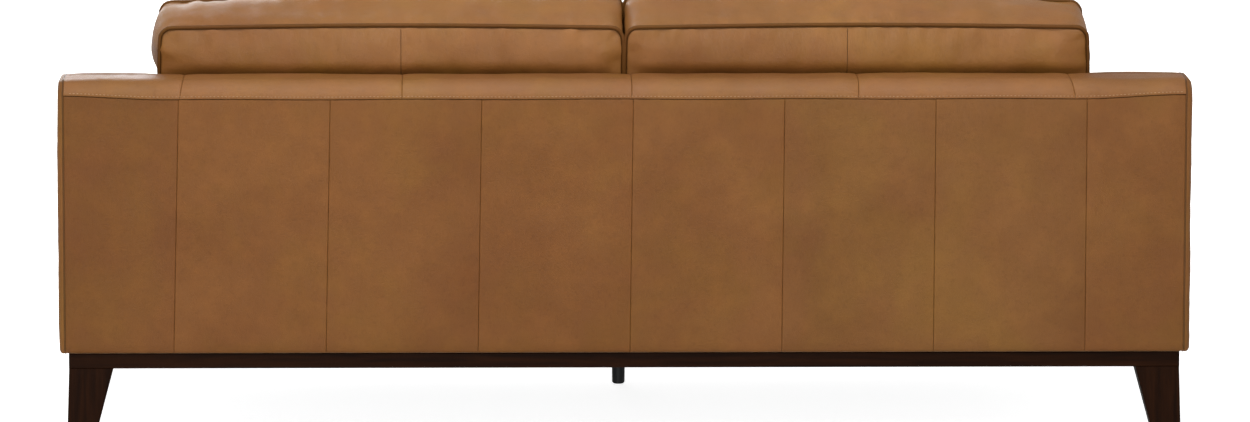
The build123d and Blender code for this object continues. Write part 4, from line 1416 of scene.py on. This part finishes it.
class SOFA_OT_studio(Operator):
    """Sets the pale floor, the soft lights and the camera behind the sofa"""

    bl_idname = "sofa.studio"
    bl_label = "Studio"

    def execute(self, context):
        scene = context.scene
        half = 220.0
        material, tree, shader = blank_material("pale_floor", 0.9)
        shader.inputs["Base Color"].default_value = (0.86, 0.86, 0.86, 1)
        shader.inputs["Emission Color"].default_value = (1, 1, 1, 1)
        seen = tree.nodes.new("ShaderNodeLightPath").outputs["Is Camera Ray"]
        tree.links.new(map_range(tree, seen, 0.0, 1.0, 0.12, 0.86), shader.inputs["Emission Strength"])
        floor = mesh_object(
            "floor", [(-half, -half, -0.0005), (half, -half, -0.0005), (half, half, -0.0005),
                      (-half, half, -0.0005)],
            [(0, 1, 2, 3)], material, smooth=False,
        )
        world = bpy.data.worlds.new("studio")
        world.use_nodes = True
        background = next(n for n in world.node_tree.nodes if n.type == "BACKGROUND")
        background.inputs["Color"].default_value = (1.0, 1.0, 1.0, 1)
        background.inputs["Strength"].default_value = 0.44
        scene.world = world
        lights = (
            ("overhead", (0.0, 0.4, 4.6), (0, 0, 0.3), 5.0, 60),
            ("rear_high", (0.3, 3.9, 4.6), (0, 0.3, 0.5), 3.0, 240),
            ("rear_low", (0.6, 7.5, 1.5), (0, 0.3, 0.6), 3.0, 160),
            ("front_soft", (1.6, -6.4, 2.2), (0, 0, 0.4), 3.5, 170),
            ("side_left", (6.5, -2.8, 2.2), (0, 0, 0.4), 3.0, 90),
            ("side_right", (-6.5, -2.8, 2.2), (0, 0, 0.4), 3.0, 90),
        )
        for name, at, target, size, power in lights:
            data = bpy.data.lights.new(name, "AREA")
            data.size, data.energy = size, power
            data.shape = "DISK"
            lamp = bpy.data.objects.new(name, data)
            lamp.location = at
            lamp.rotation_euler = (Vector(target) - Vector(at)).to_track_quat("-Z", "Y").to_euler()
            lamp.visible_camera = False
            scene.collection.objects.link(lamp)
        scene.view_settings.view_transform = "Standard"
        self.camera(scene)
        return {"FINISHED"}

    def camera(self, scene):
        """A long lens behind the sofa, a little above it and slightly to its left."""
        distance, rise, turn = 14.0, math.radians(8.0), math.radians(1.25)
        aim = Vector((0.0008, REAR, 0.4334))
        away = Vector((math.sin(turn) * math.cos(rise), math.cos(turn) * math.cos(rise), math.sin(rise)))
        data = bpy.data.cameras.new("camera")
        data.sensor_width, data.sensor_fit = 36.0, "HORIZONTAL"
        data.lens = 36.0 * distance * 0.4216
        data.clip_end = 500
        camera = bpy.data.objects.new("camera", data)
        camera.location = aim + away * distance
        roll = Quaternion((0, 0, 1), math.radians(0.08))
        camera.rotation_euler = ((-away).to_track_quat("-Z", "Y") @ roll).to_euler()
        scene.collection.objects.link(camera)
        scene.camera = camera


class SOFA_PT_build(Panel):
    """Lists the sofa's pieces, sizes and colours"""

    bl_idname = "SOFA_PT_build"
    bl_label = "Sofa"
    bl_space_type = "VIEW_3D"
    bl_region_type = "UI"
    bl_category = "Sofa"

    def draw(self, context):
        for operator in OPERATORS:
            self.layout.operator(operator.bl_idname)
        for group in (context.scene.sofa_sizes, context.scene.sofa_colours):
            box = self.layout.box()
            for key in group.__annotations__:
                box.prop(group, key)


OPERATORS = (
    SOFA_OT_outside_back,
    SOFA_OT_back_band,
    SOFA_OT_arms,
    SOFA_OT_inside,
    SOFA_OT_seat_cushions,
    SOFA_OT_back_cushions,
    SOFA_OT_timber,
    SOFA_OT_studio,
)
CLASSES = (SofaSizes, SofaColours, *OPERATORS, SOFA_PT_build)


def register():
    for cls in CLASSES:
        bpy.utils.register_class(cls)
    bpy.types.Scene.sofa_sizes = PointerProperty(type=SofaSizes)
    bpy.types.Scene.sofa_colours = PointerProperty(type=SofaColours)


def unregister():
    del bpy.types.Scene.sofa_colours
    del bpy.types.Scene.sofa_sizes
    for cls in reversed(CLASSES):
        bpy.utils.unregister_class(cls)


def main():
    register()
    bpy.ops.sofa.outside_back()
    bpy.ops.sofa.back_band()
    bpy.ops.sofa.arms()
    bpy.ops.sofa.inside()
    bpy.ops.sofa.seat_cushions()
    bpy.ops.sofa.back_cushions()
    bpy.ops.sofa.timber()
    bpy.ops.sofa.studio()


if __name__ == "__main__":
    main()
